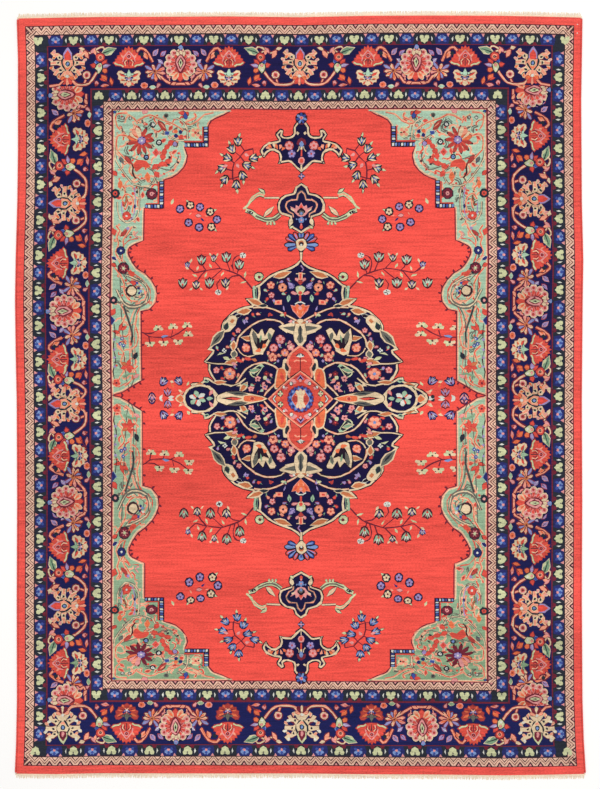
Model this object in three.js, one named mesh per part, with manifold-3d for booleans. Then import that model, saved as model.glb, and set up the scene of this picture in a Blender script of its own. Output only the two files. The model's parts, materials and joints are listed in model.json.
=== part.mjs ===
// A room-size hand-knotted wool carpet, lying flat with its pile up.
// Millimetres, +X across the carpet, +Y along its warps, +Z up, floor at z = 0.
//
// Pieces, as the workshop makes them:
//   pile_body             the knotted pile on its cotton foundation, one flat slab with uneven edges
//   selvedge_left, _right  the thick side cords, overcast with wool, sewn along the long edges
//   fringe_far, _near      the narrow woven end web and its short cotton fringe, one at each end
import * as THREE from "three";
import { mergeVertices } from "three/addons/utils/BufferGeometryUtils.js";
import Module from "manifold-3d";

const wasm = await Module();
wasm.setup();

// Thicknesses
const PILE_HEIGHT = 10;
const RIM_ROUNDING = 2.4;
const RIM_SEGMENTS = 2;
const CORD_DIAMETER = 8.4;
const CORD_SIDES = 8;
const SEAM_GAP = 0.3;

// End web and fringe
const WEB_WIDTH = 8;
const WEB_HEIGHT = 2.6;
const STRANDS = 150;
const STRAND_HEIGHT = 2;
const STRAND_ROOT = 6.4;
const STRAND_TIP = 3.6;
const STRAND_LENGTH = 16.5;
const STRAND_LENGTH_SPREAD = 2.5;
const STRAND_LENGTH_TURN = 2.4; // radians of the length's wave from one strand to the next
const STRAND_LEAN = 2.2;
const STRAND_LEAN_TURN = 1.7;
const STRAND_OVERLAP = 4;
const STRAND_MARGIN = 7;

// How finely the edges are followed
const SIDE_STEPS = 36;
const END_STEPS = 28;

// Outer edges of the carpet. A hand loom never holds a true rectangle, so each edge wanders.
const LEFT_EDGE = [
  { along: -1777, across: -1344 },
  { along: -1645, across: -1338 },
  { along: -1433, across: -1334 },
  { along: -963, across: -1335 },
  { along: -493, across: -1333 },
  { along: -23, across: -1335 },
  { along: 212, across: -1340 },
  { along: 447, across: -1343 },
  { along: 635, across: -1340 },
  { along: 917, across: -1332 },
  { along: 1152, across: -1329 },
  { along: 1575, across: -1329 },
  { along: 1768, across: -1335 },
];
const RIGHT_EDGE = [
  { along: -1778, across: 1344 },
  { along: -1621, across: 1334 },
  { along: -1433, across: 1328 },
  { along: -963, across: 1325 },
  { along: -493, across: 1327 },
  { along: -23, across: 1325 },
  { along: 447, across: 1329 },
  { along: 635, across: 1332 },
  { along: 917, across: 1325 },
  { along: 1387, across: 1322 },
  { along: 1575, across: 1325 },
  { along: 1772, across: 1328 },
];
const FAR_END = [
  { across: -1335, along: 1771 },
  { across: -1130, along: 1775 },
  { across: -940, along: 1778 },
  { across: -640, along: 1779 },
  { across: -330, along: 1781 },
  { across: 0, along: 1777 },
  { across: 330, along: 1784 },
  { across: 635, along: 1785 },
  { across: 940, along: 1784 },
  { across: 1150, along: 1780 },
  { across: 1328, along: 1775 },
];
const NEAR_END = [
  { across: -1344, along: -1780 },
  { across: -1130, along: -1782 },
  { across: -940, along: -1778 },
  { across: -470, along: -1779 },
  { across: 0, along: -1779 },
  { across: 330, along: -1783 },
  { across: 635, along: -1784 },
  { across: 940, along: -1788 },
  { across: 1150, along: -1785 },
  { across: 1344, along: -1781 },
];

// Points of a smooth edge through a table, moved sideways by (dx, dy).
function edgePoints(table, steps, dx = 0, dy = 0) {
  const spline = new THREE.SplineCurve(
    table.map((row) => new THREE.Vector2(row.across + dx, row.along + dy)),
  );
  return spline.getSpacedPoints(steps);
}

// Height of an end's edge at a place across the carpet.
function endAt(table, across) {
  const next = Math.max(1, table.findIndex((row) => row.across >= across));
  const a = table[next - 1];
  const b = table[next];
  return THREE.MathUtils.mapLinear(across, a.across, b.across, a.along, b.along);
}

function solidOf(geometry) {
  const bare = geometry.clone();
  bare.deleteAttribute("normal");
  bare.deleteAttribute("uv");
  const merged = mergeVertices(bare, 1e-3);
  return new wasm.Manifold(
    new wasm.Mesh({
      numProp: 3,
      vertProperties: new Float32Array(merged.attributes.position.array),
      triVerts: new Uint32Array(merged.index.array),
    }),
  );
}

function geometryOf(solid) {
  const mesh = solid.getMesh();
  const geometry = new THREE.BufferGeometry();
  geometry.setAttribute("position", new THREE.BufferAttribute(mesh.vertProperties, 3));
  geometry.setIndex(new THREE.BufferAttribute(mesh.triVerts, 1));
  geometry.computeVertexNormals();
  return geometry;
}

function sub(name, geometry, colour, roughness) {
  const material = new THREE.MeshStandardMaterial({ color: colour, roughness, metalness: 0 });
  const mesh = new THREE.Mesh(geometry, material);
  mesh.name = name;
  return mesh;
}

// The pile slab: the wandering outline less the side cords, with a softly rounded rim.
function pileBody() {
  const inset = CORD_DIAMETER + SEAM_GAP;
  const near = edgePoints(NEAR_END, END_STEPS).map((p) => clampAcross(p, inset));
  const right = edgePoints(RIGHT_EDGE, SIDE_STEPS, -inset).slice(1, -1);
  const far = edgePoints(FAR_END, END_STEPS).map((p) => clampAcross(p, inset)).reverse();
  const left = edgePoints(LEFT_EDGE, SIDE_STEPS, inset).slice(1, -1).reverse();
  return new THREE.ExtrudeGeometry(new THREE.Shape([...near, ...right, ...far, ...left]), {
    depth: PILE_HEIGHT - 2 * RIM_ROUNDING,
    bevelThickness: RIM_ROUNDING,
    bevelSize: RIM_ROUNDING,
    bevelOffset: -RIM_ROUNDING,
    bevelSegments: RIM_SEGMENTS,
  }).translate(0, 0, RIM_ROUNDING);
}

// Draws an end's corner points in to where the side cords begin.
function clampAcross(point, inset) {
  const low = (point.y > 0 ? FAR_END : NEAR_END)[0].across + inset;
  const high = (point.y > 0 ? FAR_END : NEAR_END).at(-1).across - inset;
  return new THREE.Vector2(THREE.MathUtils.clamp(point.x, low, high), point.y);
}

// A side cord: a many-sided section with a flat underside, along the outer edge.
function sideCord(table, inward) {
  const radius = CORD_DIAMETER / 2;
  const corner = radius / Math.cos(Math.PI / CORD_SIDES);
  const section = new THREE.Shape(
    Array.from({ length: CORD_SIDES }, (_, k) => {
      const turn = ((2 * k + 1) * Math.PI) / CORD_SIDES;
      return new THREE.Vector2(corner * Math.cos(turn), corner * Math.sin(turn));
    }),
  );
  const line = edgePoints(table, SIDE_STEPS, inward * radius).map(
    (p) => new THREE.Vector3(p.x, p.y, radius),
  );
  return new THREE.ExtrudeGeometry(section, {
    steps: SIDE_STEPS,
    bevelEnabled: false,
    extrudePath: new THREE.CatmullRomCurve3(line),
  });
}

// An end web with its fringe. outward is +1 at the far end and -1 at the near end.
function fringe(table, outward) {
  const start = outward * SEAM_GAP;
  const inner = edgePoints(table, END_STEPS, 0, start);
  const outer = edgePoints(table, END_STEPS, 0, start + outward * WEB_WIDTH).reverse();
  const web = new THREE.ExtrudeGeometry(new THREE.Shape([...inner, ...outer]), {
    depth: WEB_HEIGHT,
    bevelEnabled: false,
  });
  const first = table[0].across + STRAND_MARGIN;
  const last = table.at(-1).across - STRAND_MARGIN;
  const strands = Array.from({ length: STRANDS }, (_, k) => {
    const across = THREE.MathUtils.lerp(first, last, k / (STRANDS - 1));
    const root = endAt(table, across) + start + outward * (WEB_WIDTH - STRAND_OVERLAP);
    const wave = STRAND_LENGTH_SPREAD * Math.sin(k * STRAND_LENGTH_TURN);
    const length = STRAND_OVERLAP + STRAND_LENGTH + wave;
    const lean = STRAND_LEAN * Math.sin(k * STRAND_LEAN_TURN);
    const tip = root + outward * length;
    const outline = new THREE.Shape([
      new THREE.Vector2(across - STRAND_ROOT / 2, root),
      new THREE.Vector2(across + STRAND_ROOT / 2, root),
      new THREE.Vector2(across + lean + STRAND_TIP / 2, tip),
      new THREE.Vector2(across + lean - STRAND_TIP / 2, tip),
    ]);
    return new THREE.ExtrudeGeometry(outline, { depth: STRAND_HEIGHT, bevelEnabled: false });
  });
  return geometryOf(wasm.Manifold.union([web, ...strands].map(solidOf)));
}

const MADDER_RED = 0xe8503f;
const COTTON = 0xf0e2bf;

const carpet = new THREE.Group();
carpet.add(
  sub("pile_body", pileBody(), MADDER_RED, 0.95),
  sub("selvedge_left", sideCord(LEFT_EDGE, 1), MADDER_RED, 0.9),
  sub("selvedge_right", sideCord(RIGHT_EDGE, -1), MADDER_RED, 0.9),
  sub("fringe_far", fringe(FAR_END, 1), COTTON, 0.95),
  sub("fringe_near", fringe(NEAR_END, -1), COTTON, 0.95),
);

// The origin is on the floor under the middle of the carpet's box.
const middle = new THREE.Box3().setFromObject(carpet, true).getCenter(new THREE.Vector3());
carpet.position.set(-middle.x, -middle.y, 0);

export default carpet;
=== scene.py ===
"""A room-size sarouk rug lying pile up: one knotted pile, two overcast side cords and two fringed ends.

The pattern is drawn as a weaver draws it, on a chart of small squares, from motifs built of petals,
leaves, dots and lines. The chart is then stretched onto the rug's own uneven edges.
"""
import cmath
import json
import math
import random
from collections import defaultdict, namedtuple
from contextlib import contextmanager

import bpy
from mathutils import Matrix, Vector, noise
from mathutils.geometry import delaunay_2d_cdt

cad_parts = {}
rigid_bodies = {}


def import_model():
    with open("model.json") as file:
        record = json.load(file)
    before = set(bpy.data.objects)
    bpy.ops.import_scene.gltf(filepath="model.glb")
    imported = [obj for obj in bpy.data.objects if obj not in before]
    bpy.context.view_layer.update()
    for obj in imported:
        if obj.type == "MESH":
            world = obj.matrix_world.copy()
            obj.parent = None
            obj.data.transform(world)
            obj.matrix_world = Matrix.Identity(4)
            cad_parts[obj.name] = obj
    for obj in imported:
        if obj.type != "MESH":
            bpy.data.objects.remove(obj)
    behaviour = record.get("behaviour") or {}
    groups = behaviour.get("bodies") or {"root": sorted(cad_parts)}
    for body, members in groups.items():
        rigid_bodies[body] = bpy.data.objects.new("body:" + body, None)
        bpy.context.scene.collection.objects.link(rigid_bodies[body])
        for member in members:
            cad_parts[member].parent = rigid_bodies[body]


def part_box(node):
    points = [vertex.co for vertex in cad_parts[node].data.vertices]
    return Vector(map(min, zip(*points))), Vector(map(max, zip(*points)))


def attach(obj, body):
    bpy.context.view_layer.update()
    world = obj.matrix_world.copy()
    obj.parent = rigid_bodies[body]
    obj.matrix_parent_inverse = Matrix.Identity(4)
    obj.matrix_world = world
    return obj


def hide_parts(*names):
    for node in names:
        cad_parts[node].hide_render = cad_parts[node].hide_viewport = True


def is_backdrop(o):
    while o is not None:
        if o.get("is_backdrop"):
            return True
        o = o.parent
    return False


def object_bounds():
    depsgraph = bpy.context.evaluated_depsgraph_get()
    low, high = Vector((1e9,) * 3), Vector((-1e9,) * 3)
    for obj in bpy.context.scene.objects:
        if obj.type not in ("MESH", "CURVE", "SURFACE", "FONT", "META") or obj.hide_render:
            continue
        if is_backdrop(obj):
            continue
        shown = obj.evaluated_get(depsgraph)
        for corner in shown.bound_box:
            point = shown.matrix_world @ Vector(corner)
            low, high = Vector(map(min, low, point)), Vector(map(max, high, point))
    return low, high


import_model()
CAD_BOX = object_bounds()

bl_info = {
    "name": "Sarouk rug",
    "version": (1, 0, 0),
    "blender": (4, 5, 0),
    "location": "View3D > Sidebar > Rug",
    "description": "Builds the rug's pile, side cords, fringes and studio around the loaded frame",
    "category": "Object",
}

MM = 0.001

# The rug's own edges, as in the CAD: along the length and across the width, in millimetres.
LEFT_EDGE = (
    (-1777, -1344), (-1645, -1338), (-1433, -1334), (-963, -1335), (-493, -1333), (-23, -1335), (212, -1340),
    (447, -1343), (635, -1340), (917, -1332), (1152, -1329), (1575, -1329), (1768, -1335),
)
RIGHT_EDGE = (
    (-1778, 1344), (-1621, 1334), (-1433, 1328), (-963, 1325), (-493, 1327), (-23, 1325), (447, 1329),
    (635, 1332), (917, 1325), (1387, 1322), (1575, 1325), (1772, 1328),
)
FAR_EDGE = (
    (-1335, 1771), (-1130, 1775), (-940, 1778), (-640, 1779), (-330, 1781), (0, 1777), (330, 1784),
    (635, 1785), (940, 1784), (1150, 1780), (1328, 1775),
)
NEAR_EDGE = (
    (-1344, -1780), (-1130, -1782), (-940, -1778), (-470, -1779), (0, -1779), (330, -1783), (635, -1784),
    (940, -1788), (1150, -1785), (1344, -1781),
)

# One dye a row: its name, where it is used, and its colour in everyday 0-255 red, green and blue.
Dye = namedtuple("Dye", "name use red green blue")
DYES = (
    Dye("field_red", "ground of the field", 229, 79, 69),
    Dye("edge_red", "plain band round the edge and the side cords", 229, 85, 76),
    Dye("coral", "coral petals", 206, 76, 64),
    Dye("border_navy", "main border's ground at the far end", 24, 20, 66),
    Dye("near_navy", "main border's ground at the near end", 24, 27, 78),
    Dye("navy", "medallion's ground", 20, 15, 56),
    Dye("ink", "darkest outlines", 34, 20, 36),
    Dye("mid_blue", "blue petals", 58, 76, 146),
    Dye("light_blue", "light blue petals", 114, 138, 186),
    Dye("lilac", "lilac petals", 150, 132, 178),
    Dye("mint", "spandrels' ground at the far end", 168, 198, 174),
    Dye("near_sage", "spandrels' ground at the near end", 132, 158, 124),
    Dye("sage", "sage green leaves", 120, 150, 120),
    Dye("grey_sage", "grey green leaves", 98, 96, 88),
    Dye("pale_green", "pale flowers of the small guards", 192, 194, 152),
    Dye("cream", "cream outlines", 214, 190, 156),
    Dye("white", "pale blue white slivers", 204, 204, 194),
    Dye("peach", "peach scrolls", 228, 148, 122),
    Dye("orange", "orange petals", 218, 108, 70),
    Dye("tan", "orange brown leaves", 186, 110, 72),
    Dye("pink", "pink petals", 214, 142, 140),
    Dye("red_brown", "corner palmettes", 168, 62, 56),
    Dye("maroon", "dark red outlines", 108, 34, 50),
    Dye("brown", "brown lines of the zigzags", 124, 78, 70),
    Dye("dark_brown", "dark lines between the bands", 58, 34, 42),
    Dye("dark_teal", "blackish green petals and grounds", 38, 42, 52),
    Dye("guard_navy", "rosettes' ground in the small guards", 38, 42, 98),
    Dye("zigzag_pink", "zigzags' ground", 220, 178, 156),
)
FIRST_COLOURS = {dye.name: (dye.red / 255, dye.green / 255, dye.blue / 255) for dye in DYES}
# Bands of deeper red across the field: middle and reach in chart squares, and how much darker.
ABRASH = (
    (50.0, 22.0, 0.16), (-92.0, 24.0, 0.09), (2.0, 12.0, 0.08), (228.0, 22.0, 0.06), (-196.0, 16.0, 0.06),
)
# Dyes that drift into another one from the far end to the near end.
DRIFTS = {"border_navy": "near_navy", "mint": "near_sage"}

# Pattern sizes, in chart squares: the chart's half width takes in the side cord.
HALF_WIDTH = 284.0
HALF_LENGTH = 378.5
CORD_SQUARES = 8.7 / 4.7
# The bands from the edge inward: each one's dye, and its outer line's distance from the edge.
Band = namedtuple("Band", "dye side end")
BANDS = (
    Band("dark_brown", 8.4, 8.3),
    Band("zigzag_pink", 9.3, 9.0),
    Band("dark_brown", 17.3, 17.0),
    Band("dark_teal", 18.0, 17.9),
    Band("maroon", 29.8, 28.4),
    Band("border_navy", 31.0, 29.4),
    Band("maroon", 73.2, 71.4),
    Band("dark_teal", 74.8, 73.0),
    Band("dark_brown", 86.2, 83.9),
    Band("zigzag_pink", 86.9, 84.9),
    Band("maroon", 94.4, 92.0),
    Band("field_red", 95.5, 92.9),
)
FIELD = BANDS[-1]
FIELD_HALF_WIDTH = HALF_WIDTH - FIELD.side
FIELD_HALF_LENGTH = HALF_LENGTH - FIELD.end
# The side of the cells that sort the drawn shapes by place, in chart squares.
CELL = 8.0
# In chart squares: what counts as no length, how near the axis counts as on it, and how near corners are one.
TINY = 1e-6
ON_AXIS = 0.01
WELD = 1e-4
# Steps for each square that a drawn corner is rounded to, and that a shown corner is moved to.
GRAIN = 4
KNOTS = 2.4
# How far a shown outline may be straightened, and how long a straightened edge may be, in chart squares.
SLACK = 0.4
LONGEST = 10.0

# A side of the rug: the turn and flip that bring x along it and y outward, and its distance from the middle.
Side = namedtuple("Side", "name turn flip reach half")
SIDES = (
    Side("left", 90, False, HALF_WIDTH, HALF_LENGTH),
    Side("right", -90, True, HALF_WIDTH, HALF_LENGTH),
    Side("far", 0, False, HALF_LENGTH, HALF_WIDTH),
    Side("near", 180, True, HALF_LENGTH, HALF_WIDTH),
)

# Cells of the small guards: depth of the row, the corner flower's place and the cells from corner to corner.
GuardRow = namedtuple("GuardRow", "side depth start end cells outward")
GUARD_ROWS = (
    GuardRow("far", 23.4, -262.6, 266.4, 31, True),
    GuardRow("near", 23.0, -264.4, 266.4, 29, True),
    GuardRow("left", 23.9, -355.9, 354.1, 41, True),
    GuardRow("right", 23.9, -355.9, 354.1, 41, True),
    GuardRow("far", 78.6, -202.2, 199.7, 25, False),
    GuardRow("near", 78.6, -204.0, 202.7, 23, False),
    GuardRow("left", 80.6, -304.9, 300.1, 35, False),
    GuardRow("right", 80.6, -304.9, 300.1, 35, False),
)

# The main border's repeats, each from a palmette to a rosette, as places along its side in chart squares.
Repeat = namedtuple("Repeat", "side palmette bud cluster fan lotus rosette")
REPEATS = (
    Repeat("left", 192.4, 212.1, 229.1, 256.5, 283.1, 301.1),
    Repeat("left", 192.4, 175.4, 162.1, 132.7, 109.6, 84.8),
    Repeat("left", -8.1, 3.1, 15.4, 36.4, 60.6, 84.8),
    Repeat("left", -8.1, -22.9, -40.3, -60.4, -81.4, -106.3),
    Repeat("left", -210.3, -192.9, -178.2, -151.3, -127.3, -106.3),
    Repeat("left", -210.3, -229.7, -242.5, -267.5, -288.9, -304.7),
    Repeat("right", 196.4, 215.1, 231.9, 259.3, 285.5, 304.9),
    Repeat("right", 196.4, 180.3, 164.9, 140.4, 116.9, 94.2),
    Repeat("right", -4.9, 11.8, 22.5, 46.0, 70.7, 94.2),
    Repeat("right", -4.9, -21.0, -33.7, -58.9, -82.4, -107.2),
    Repeat("right", -212.3, -194.2, -180.2, -152.7, -128.6, -107.2),
    Repeat("right", -212.3, -231.7, -244.4, -268.6, -287.5, -302.8),
    Repeat("far", -233.7, -214.5, -201.9, -172.0, -145.6, -120.0),
    Repeat("far", 0.0, -24.4, -38.4, -71.4, -96.4, -120.0),
    Repeat("far", 0.0, 24.0, 37.8, 68.5, 94.5, 117.0),
    Repeat("far", 234.3, 211.6, 197.0, 166.3, 140.3, 117.0),
    Repeat("near", -237.2, -217.3, -200.7, -173.4, -147.6, -124.4),
    Repeat("near", 2.0, -21.6, -38.2, -72.2, -102.0, -124.4),
    Repeat("near", 2.0, 24.5, 39.5, 71.8, 95.0, 122.4),
    Repeat("near", 237.6, 216.0, 201.0, 173.6, 149.6, 122.4),
)


def to_linear(value):
    """An everyday colour value from 0 to 1 as the linear one that shaders use."""
    if value <= 0.04045:
        return value / 12.92
    return ((value + 0.055) / 1.055) ** 2.4


def colour_property(dye):
    """A colour setting that opens at the dye's own colour."""
    return bpy.props.FloatVectorProperty(
        name=dye.name.replace("_", " ").capitalize(),
        description=dye.use,
        subtype="COLOR_GAMMA",
        size=3,
        min=0.0,
        max=1.0,
        default=FIRST_COLOURS[dye.name],
    )


class RugDyes(bpy.types.PropertyGroup):
    """The wool's dyes."""

    __annotations__ = {dye.name: colour_property(dye) for dye in DYES}


class RugSizes(bpy.types.PropertyGroup):
    """The rug's real sizes."""

    square: bpy.props.FloatProperty(
        name="Chart square", description="Side of one square of the chart", default=4.7 * MM, unit="LENGTH"
    )
    pile_height: bpy.props.FloatProperty(
        name="Pile height", description="Height of the pile's top", default=10.0 * MM, unit="LENGTH"
    )
    rim: bpy.props.FloatProperty(
        name="Rim rounding", description="Rounding of the pile's edge", default=2.4 * MM, unit="LENGTH"
    )
    ripple: bpy.props.FloatProperty(
        name="Ripple", description="Slow unevenness of the pile's top", default=0.5 * MM, unit="LENGTH"
    )
    cord: bpy.props.FloatProperty(
        name="Cord", description="Thickness of the side cords", default=8.4 * MM, unit="LENGTH"
    )
    cord_gap: bpy.props.FloatProperty(
        name="Cord gap", description="Gap between cord and pile", default=0.3 * MM, unit="LENGTH"
    )
    wrap: bpy.props.FloatProperty(
        name="Wrap", description="Length of cord under one turn of wool", default=6.0 * MM, unit="LENGTH"
    )
    web: bpy.props.FloatProperty(
        name="End web", description="Width of the woven strip at each end", default=8.0 * MM, unit="LENGTH"
    )
    web_height: bpy.props.FloatProperty(
        name="Web height", description="Thickness of the end webs", default=2.6 * MM, unit="LENGTH"
    )
    strand: bpy.props.FloatProperty(
        name="Strand", description="Length of a fringe strand", default=16.5 * MM, unit="LENGTH"
    )
    strands: bpy.props.IntProperty(name="Strands", description="Fringe strands at each end", default=430)


def dye_colours(context):
    """Each dye's linear colour, from the settings."""
    dyes = context.scene.rug_dyes
    return {dye.name: tuple(to_linear(value) for value in getattr(dyes, dye.name)) for dye in DYES}


# Chart drawing


def smoothed(points, closed, step=1.8):
    """A smooth line through the points, where a third value marks a corner."""
    spots = [complex(point[0], point[1]) for point in points]
    count = len(spots)
    slopes = []
    for index, point in enumerate(points):
        before = spots[index - 1] if closed or index else spots[0]
        after = spots[(index + 1) % count] if closed or index < count - 1 else spots[-1]
        slopes.append(0j if len(point) > 2 else (after - before) / 2)
    line = []
    for index in range(count if closed else count - 1):
        following = (index + 1) % count
        start, end = spots[index], spots[following]
        parts = max(1, min(4, round(abs(end - start) / step)))
        for part in range(parts):
            t = part / parts
            bend = t * t * (3 - 2 * t)
            leave = t * (1 - t) ** 2
            arrive = t * t * (t - 1)
            line.append(start + (end - start) * bend + slopes[index] * leave + slopes[following] * arrive)
    if not closed:
        line.append(spots[-1])
    return line


def plain(points):
    """The points as complex numbers, with no smoothing."""
    return [complex(point[0], point[1]) for point in points]


def with_mirror(points):
    """Closes a right half, listed from one end to the other, with its mirrored left half."""
    left = [(-point[0], *point[1:]) for point in reversed(points) if abs(point[0]) > ON_AXIS]
    return [*points, *left]


def turned_left(ring):
    """The ring listed counter-clockwise."""
    area = sum((spot.conjugate() * ring[index - 1]).imag for index, spot in enumerate(ring))
    return ring if area < 0 else ring[::-1]


def grown(ring, amount):
    """The counter-clockwise ring moved outward by an amount."""
    count = len(ring)
    result = []
    for index, spot in enumerate(ring):
        along = ring[(index + 1) % count] - ring[index - 1]
        size = abs(along)
        result.append(spot - 1j * along / size * amount if size > TINY else spot)
    return result


class Weaver:
    """Flat coloured shapes in painter's order, in chart squares from the rug's middle."""

    def __init__(self, seed):
        self.shapes = []
        self.place = lambda spot: spot
        self.changes = {}
        self.fade = 1
        self.chance = random.Random(seed)

    @contextmanager
    def at(self, x=0, y=0, degrees=0, size=1, flip=False, bend=None):
        """Draws what follows moved, turned, resized, mirrored or bent."""
        outer = self.place
        turn = cmath.rect(size, math.radians(degrees))
        shift = complex(x, y)

        def place(spot):
            if bend:
                spot = bend(spot)
            if flip:
                spot = -spot.conjugate()
            return outer(turn * spot + shift)

        self.place = place
        try:
            yield self
        finally:
            self.place = outer

    @contextmanager
    def redyed(self, changes, fade=1):
        """Draws what follows with some dyes changed for others and every tone darkened by a painted shade
        factor.
        """
        outer = self.changes, self.fade
        self.changes = {**self.changes, **changes}
        self.fade *= fade
        try:
            yield self
        finally:
            self.changes, self.fade = outer

    def both(self):
        """Twice: once as drawn and once mirrored."""
        for flip in (False, True):
            with self.at(flip=flip):
                yield flip

    def each(self, draw, rows, **finish):
        """Draws like shapes, one from each row of values."""
        for row in rows:
            draw(*row, **finish)

    def ring(self, dye, ring, tone=None):
        """Adds one closed ring, given as complex numbers."""
        placed = turned_left([self.place(spot) for spot in ring])
        if tone is None:
            tone = self.chance.uniform(0.955, 1.035)
        self.shapes.append((placed, self.changes.get(dye, dye), tone * self.fade))

    def fill(self, dye, points, smooth=True, mirror=False, edge=None, edge_width=1):
        """A filled shape, with an outline in another dye if one is named."""
        if mirror:
            points = with_mirror(points)
        ring = turned_left(smoothed(points, True) if smooth else plain(points))
        if edge:
            self.ring(edge, grown(ring, edge_width))
        self.ring(dye, ring)

    def line(self, dye, points, width, taper=1, smooth=True, edge=None, edge_width=0.95):
        """A line of a width, which may taper, as a row of quads."""
        spots = smoothed(points, False, 2.6) if smooth else plain(points)
        if edge:
            self.band(edge, spots, width + 2 * edge_width, taper)
        self.band(dye, spots, width, taper)

    def band(self, dye, spots, width, taper):
        """A row of quads along the spots."""
        count = len(spots)
        tone = self.chance.uniform(0.96, 1.03)
        lefts, rights = [], []
        for index, spot in enumerate(spots):
            along = spots[min(index + 1, count - 1)] - spots[max(index - 1, 0)]
            half = width / 2 * (1 + (taper - 1) * index / (count - 1))
            across = 1j * along / max(abs(along), TINY) * half
            lefts.append(spot + across)
            rights.append(spot - across)
        for index in range(count - 1):
            self.ring(dye, [lefts[index], lefts[index + 1], rights[index + 1], rights[index]], tone)

    def dot(self, dye, x, y, radius, sides, squash=1, edge=None, edge_width=1):
        """A round spot."""
        if edge:
            self.dot(edge, x, y, radius + edge_width, sides, squash)
        start = self.chance.uniform(0, math.tau / sides)
        ring = []
        for index in range(sides):
            angle = start + math.tau * index / sides
            ring.append(complex(x + radius * math.cos(angle), y + radius * squash * math.sin(angle)))
        self.ring(dye, ring)

    def petal(self, dye, x, y, degrees, length, width, edge=None, edge_width=0.95):
        """A petal with a narrow foot at x, y and a round end."""
        turn = cmath.rect(1, math.radians(degrees))
        half = width / 2
        outline = (
            0j, complex(length * 0.4, half * 0.75), complex(length * 0.78, half), complex(length, half * 0.3),
            complex(length, -half * 0.3), complex(length * 0.78, -half), complex(length * 0.4, -half * 0.75),
        )
        ring = turned_left([complex(x, y) + turn * spot for spot in outline])
        if edge:
            self.ring(edge, grown(ring, edge_width))
        self.ring(dye, ring)

    def leaf(self, dye, x, y, degrees, length, width, edge=None, edge_width=0.95, vein=None):
        """A leaf with a point at both ends."""
        turn = cmath.rect(1, math.radians(degrees))
        half = width / 2
        outline = (
            0j, complex(length * 0.28, half * 0.85), complex(length * 0.55, half), complex(length, 0),
            complex(length * 0.55, -half), complex(length * 0.28, -half * 0.85),
        )
        ring = turned_left([complex(x, y) + turn * spot for spot in outline])
        if edge:
            self.ring(edge, grown(ring, edge_width))
        self.ring(dye, ring)
        if vein:
            middle = [complex(x, y) + turn * length * part for part in (0.12, 0.8)]
            self.band(vein, middle, width * 0.22, 0.4)

    def rosette(self, x, y, radius, petals, heart, ground, count=5, turn=90):
        """A small round flower: dots round a heart, on a darker disc."""
        self.dot(ground, x, y, radius * 1.12, 8)
        for index in range(count):
            angle = math.radians(turn + 360 * index / count)
            petal_x, petal_y = x + radius * 0.6 * math.cos(angle), y + radius * 0.6 * math.sin(angle)
            self.dot(petals, petal_x, petal_y, radius * 0.4, 6)
        self.dot(heart, x, y, radius * 0.3, 5)

    @contextmanager
    def along(self, side, side_depth, end_depth):
        """The frame of one side: x runs along it and y points outward from the line at that depth."""
        depth = side_depth if side.name in ("left", "right") else end_depth
        outward = cmath.rect(1, math.radians(side.turn + 90))
        shift = outward * (side.reach - depth)
        with self.at(shift.real, shift.imag, side.turn, 1, side.flip):
            yield


def frame_ring(half_width, half_length, step):
    """A rectangle round the middle with extra points along its sides."""
    corners = [
        (half_width, half_length), (-half_width, half_length),
        (-half_width, -half_length), (half_width, -half_length),
    ]
    ring = []
    for index, (x, y) in enumerate(corners):
        next_x, next_y = corners[(index + 1) % 4]
        parts = max(1, round(math.hypot(next_x - x, next_y - y) / step))
        for part in range(parts):
            t = part / parts
            ring.append(complex(x + (next_x - x) * t, y + (next_y - y) * t))
    return ring


# Bands


def draw_bands(weaver):
    """The plain grounds of all the bands, the field's last."""
    for band in BANDS:
        ring = frame_ring(HALF_WIDTH - band.side, HALF_LENGTH - band.end, 14)
        weaver.ring(band.dye, ring, 1)


def draw_zigzags(weaver):
    """The two zigzag bands: nested chevrons, with small dark triangles between their peaks."""
    for side_depth, end_depth, side_width, pitch, outward in (
        (9.3, 9, 8, 10.2, True), (86.9, 84.9, 7.4, 9.6, False),
    ):
        for side in SIDES:
            across = side.name in ("far", "near")
            half = side.half - (side_depth if across else end_depth)
            with weaver.along(side, side_depth, end_depth):
                if not (outward or across):
                    half -= side_width
                draw_zigzag(weaver, half, side_width, pitch, outward)


def draw_zigzag(weaver, half, width, pitch, outward):
    """Nested chevrons of thin brown lines, with a dark triangle in each notch of the first one."""
    top, down = (0, -1) if outward else (-width, 1)
    count = round(2 * half / pitch)
    pitch = 2 * half / count
    rise = 5.6
    for index in range(count):
        place = -half + pitch * (index + 0.5) + weaver.chance.uniform(-0.25, 0.25)
        weaver.fill("dark_brown", [(place - 3.2, top), (place + 3.2, top), (place, top + down * 4.4)], False)
        weaver.fill("pink", [(place - 1.6, top), (place + 1.6, top), (place, top + down * 2.2)], False)
        for drop, dye, thick in ((0.8, "brown", 1.2), (3.6, "dark_brown", 1.2)):
            share = min(1, (width - 0.3 - drop) / rise)
            for side in (-1, 1):
                start_x, end_x = place + side * pitch / 2, place + side * pitch / 2 * (1 - share)
                start_y, end_y = top + down * drop, top + down * (drop + rise * share)
                weaver.fill(
                    dye,
                    [
                        (start_x, start_y), (end_x, end_y), (end_x, end_y + down * thick),
                        (start_x, start_y + down * thick),
                    ],
                    False,
                )


# Small guards


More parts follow.
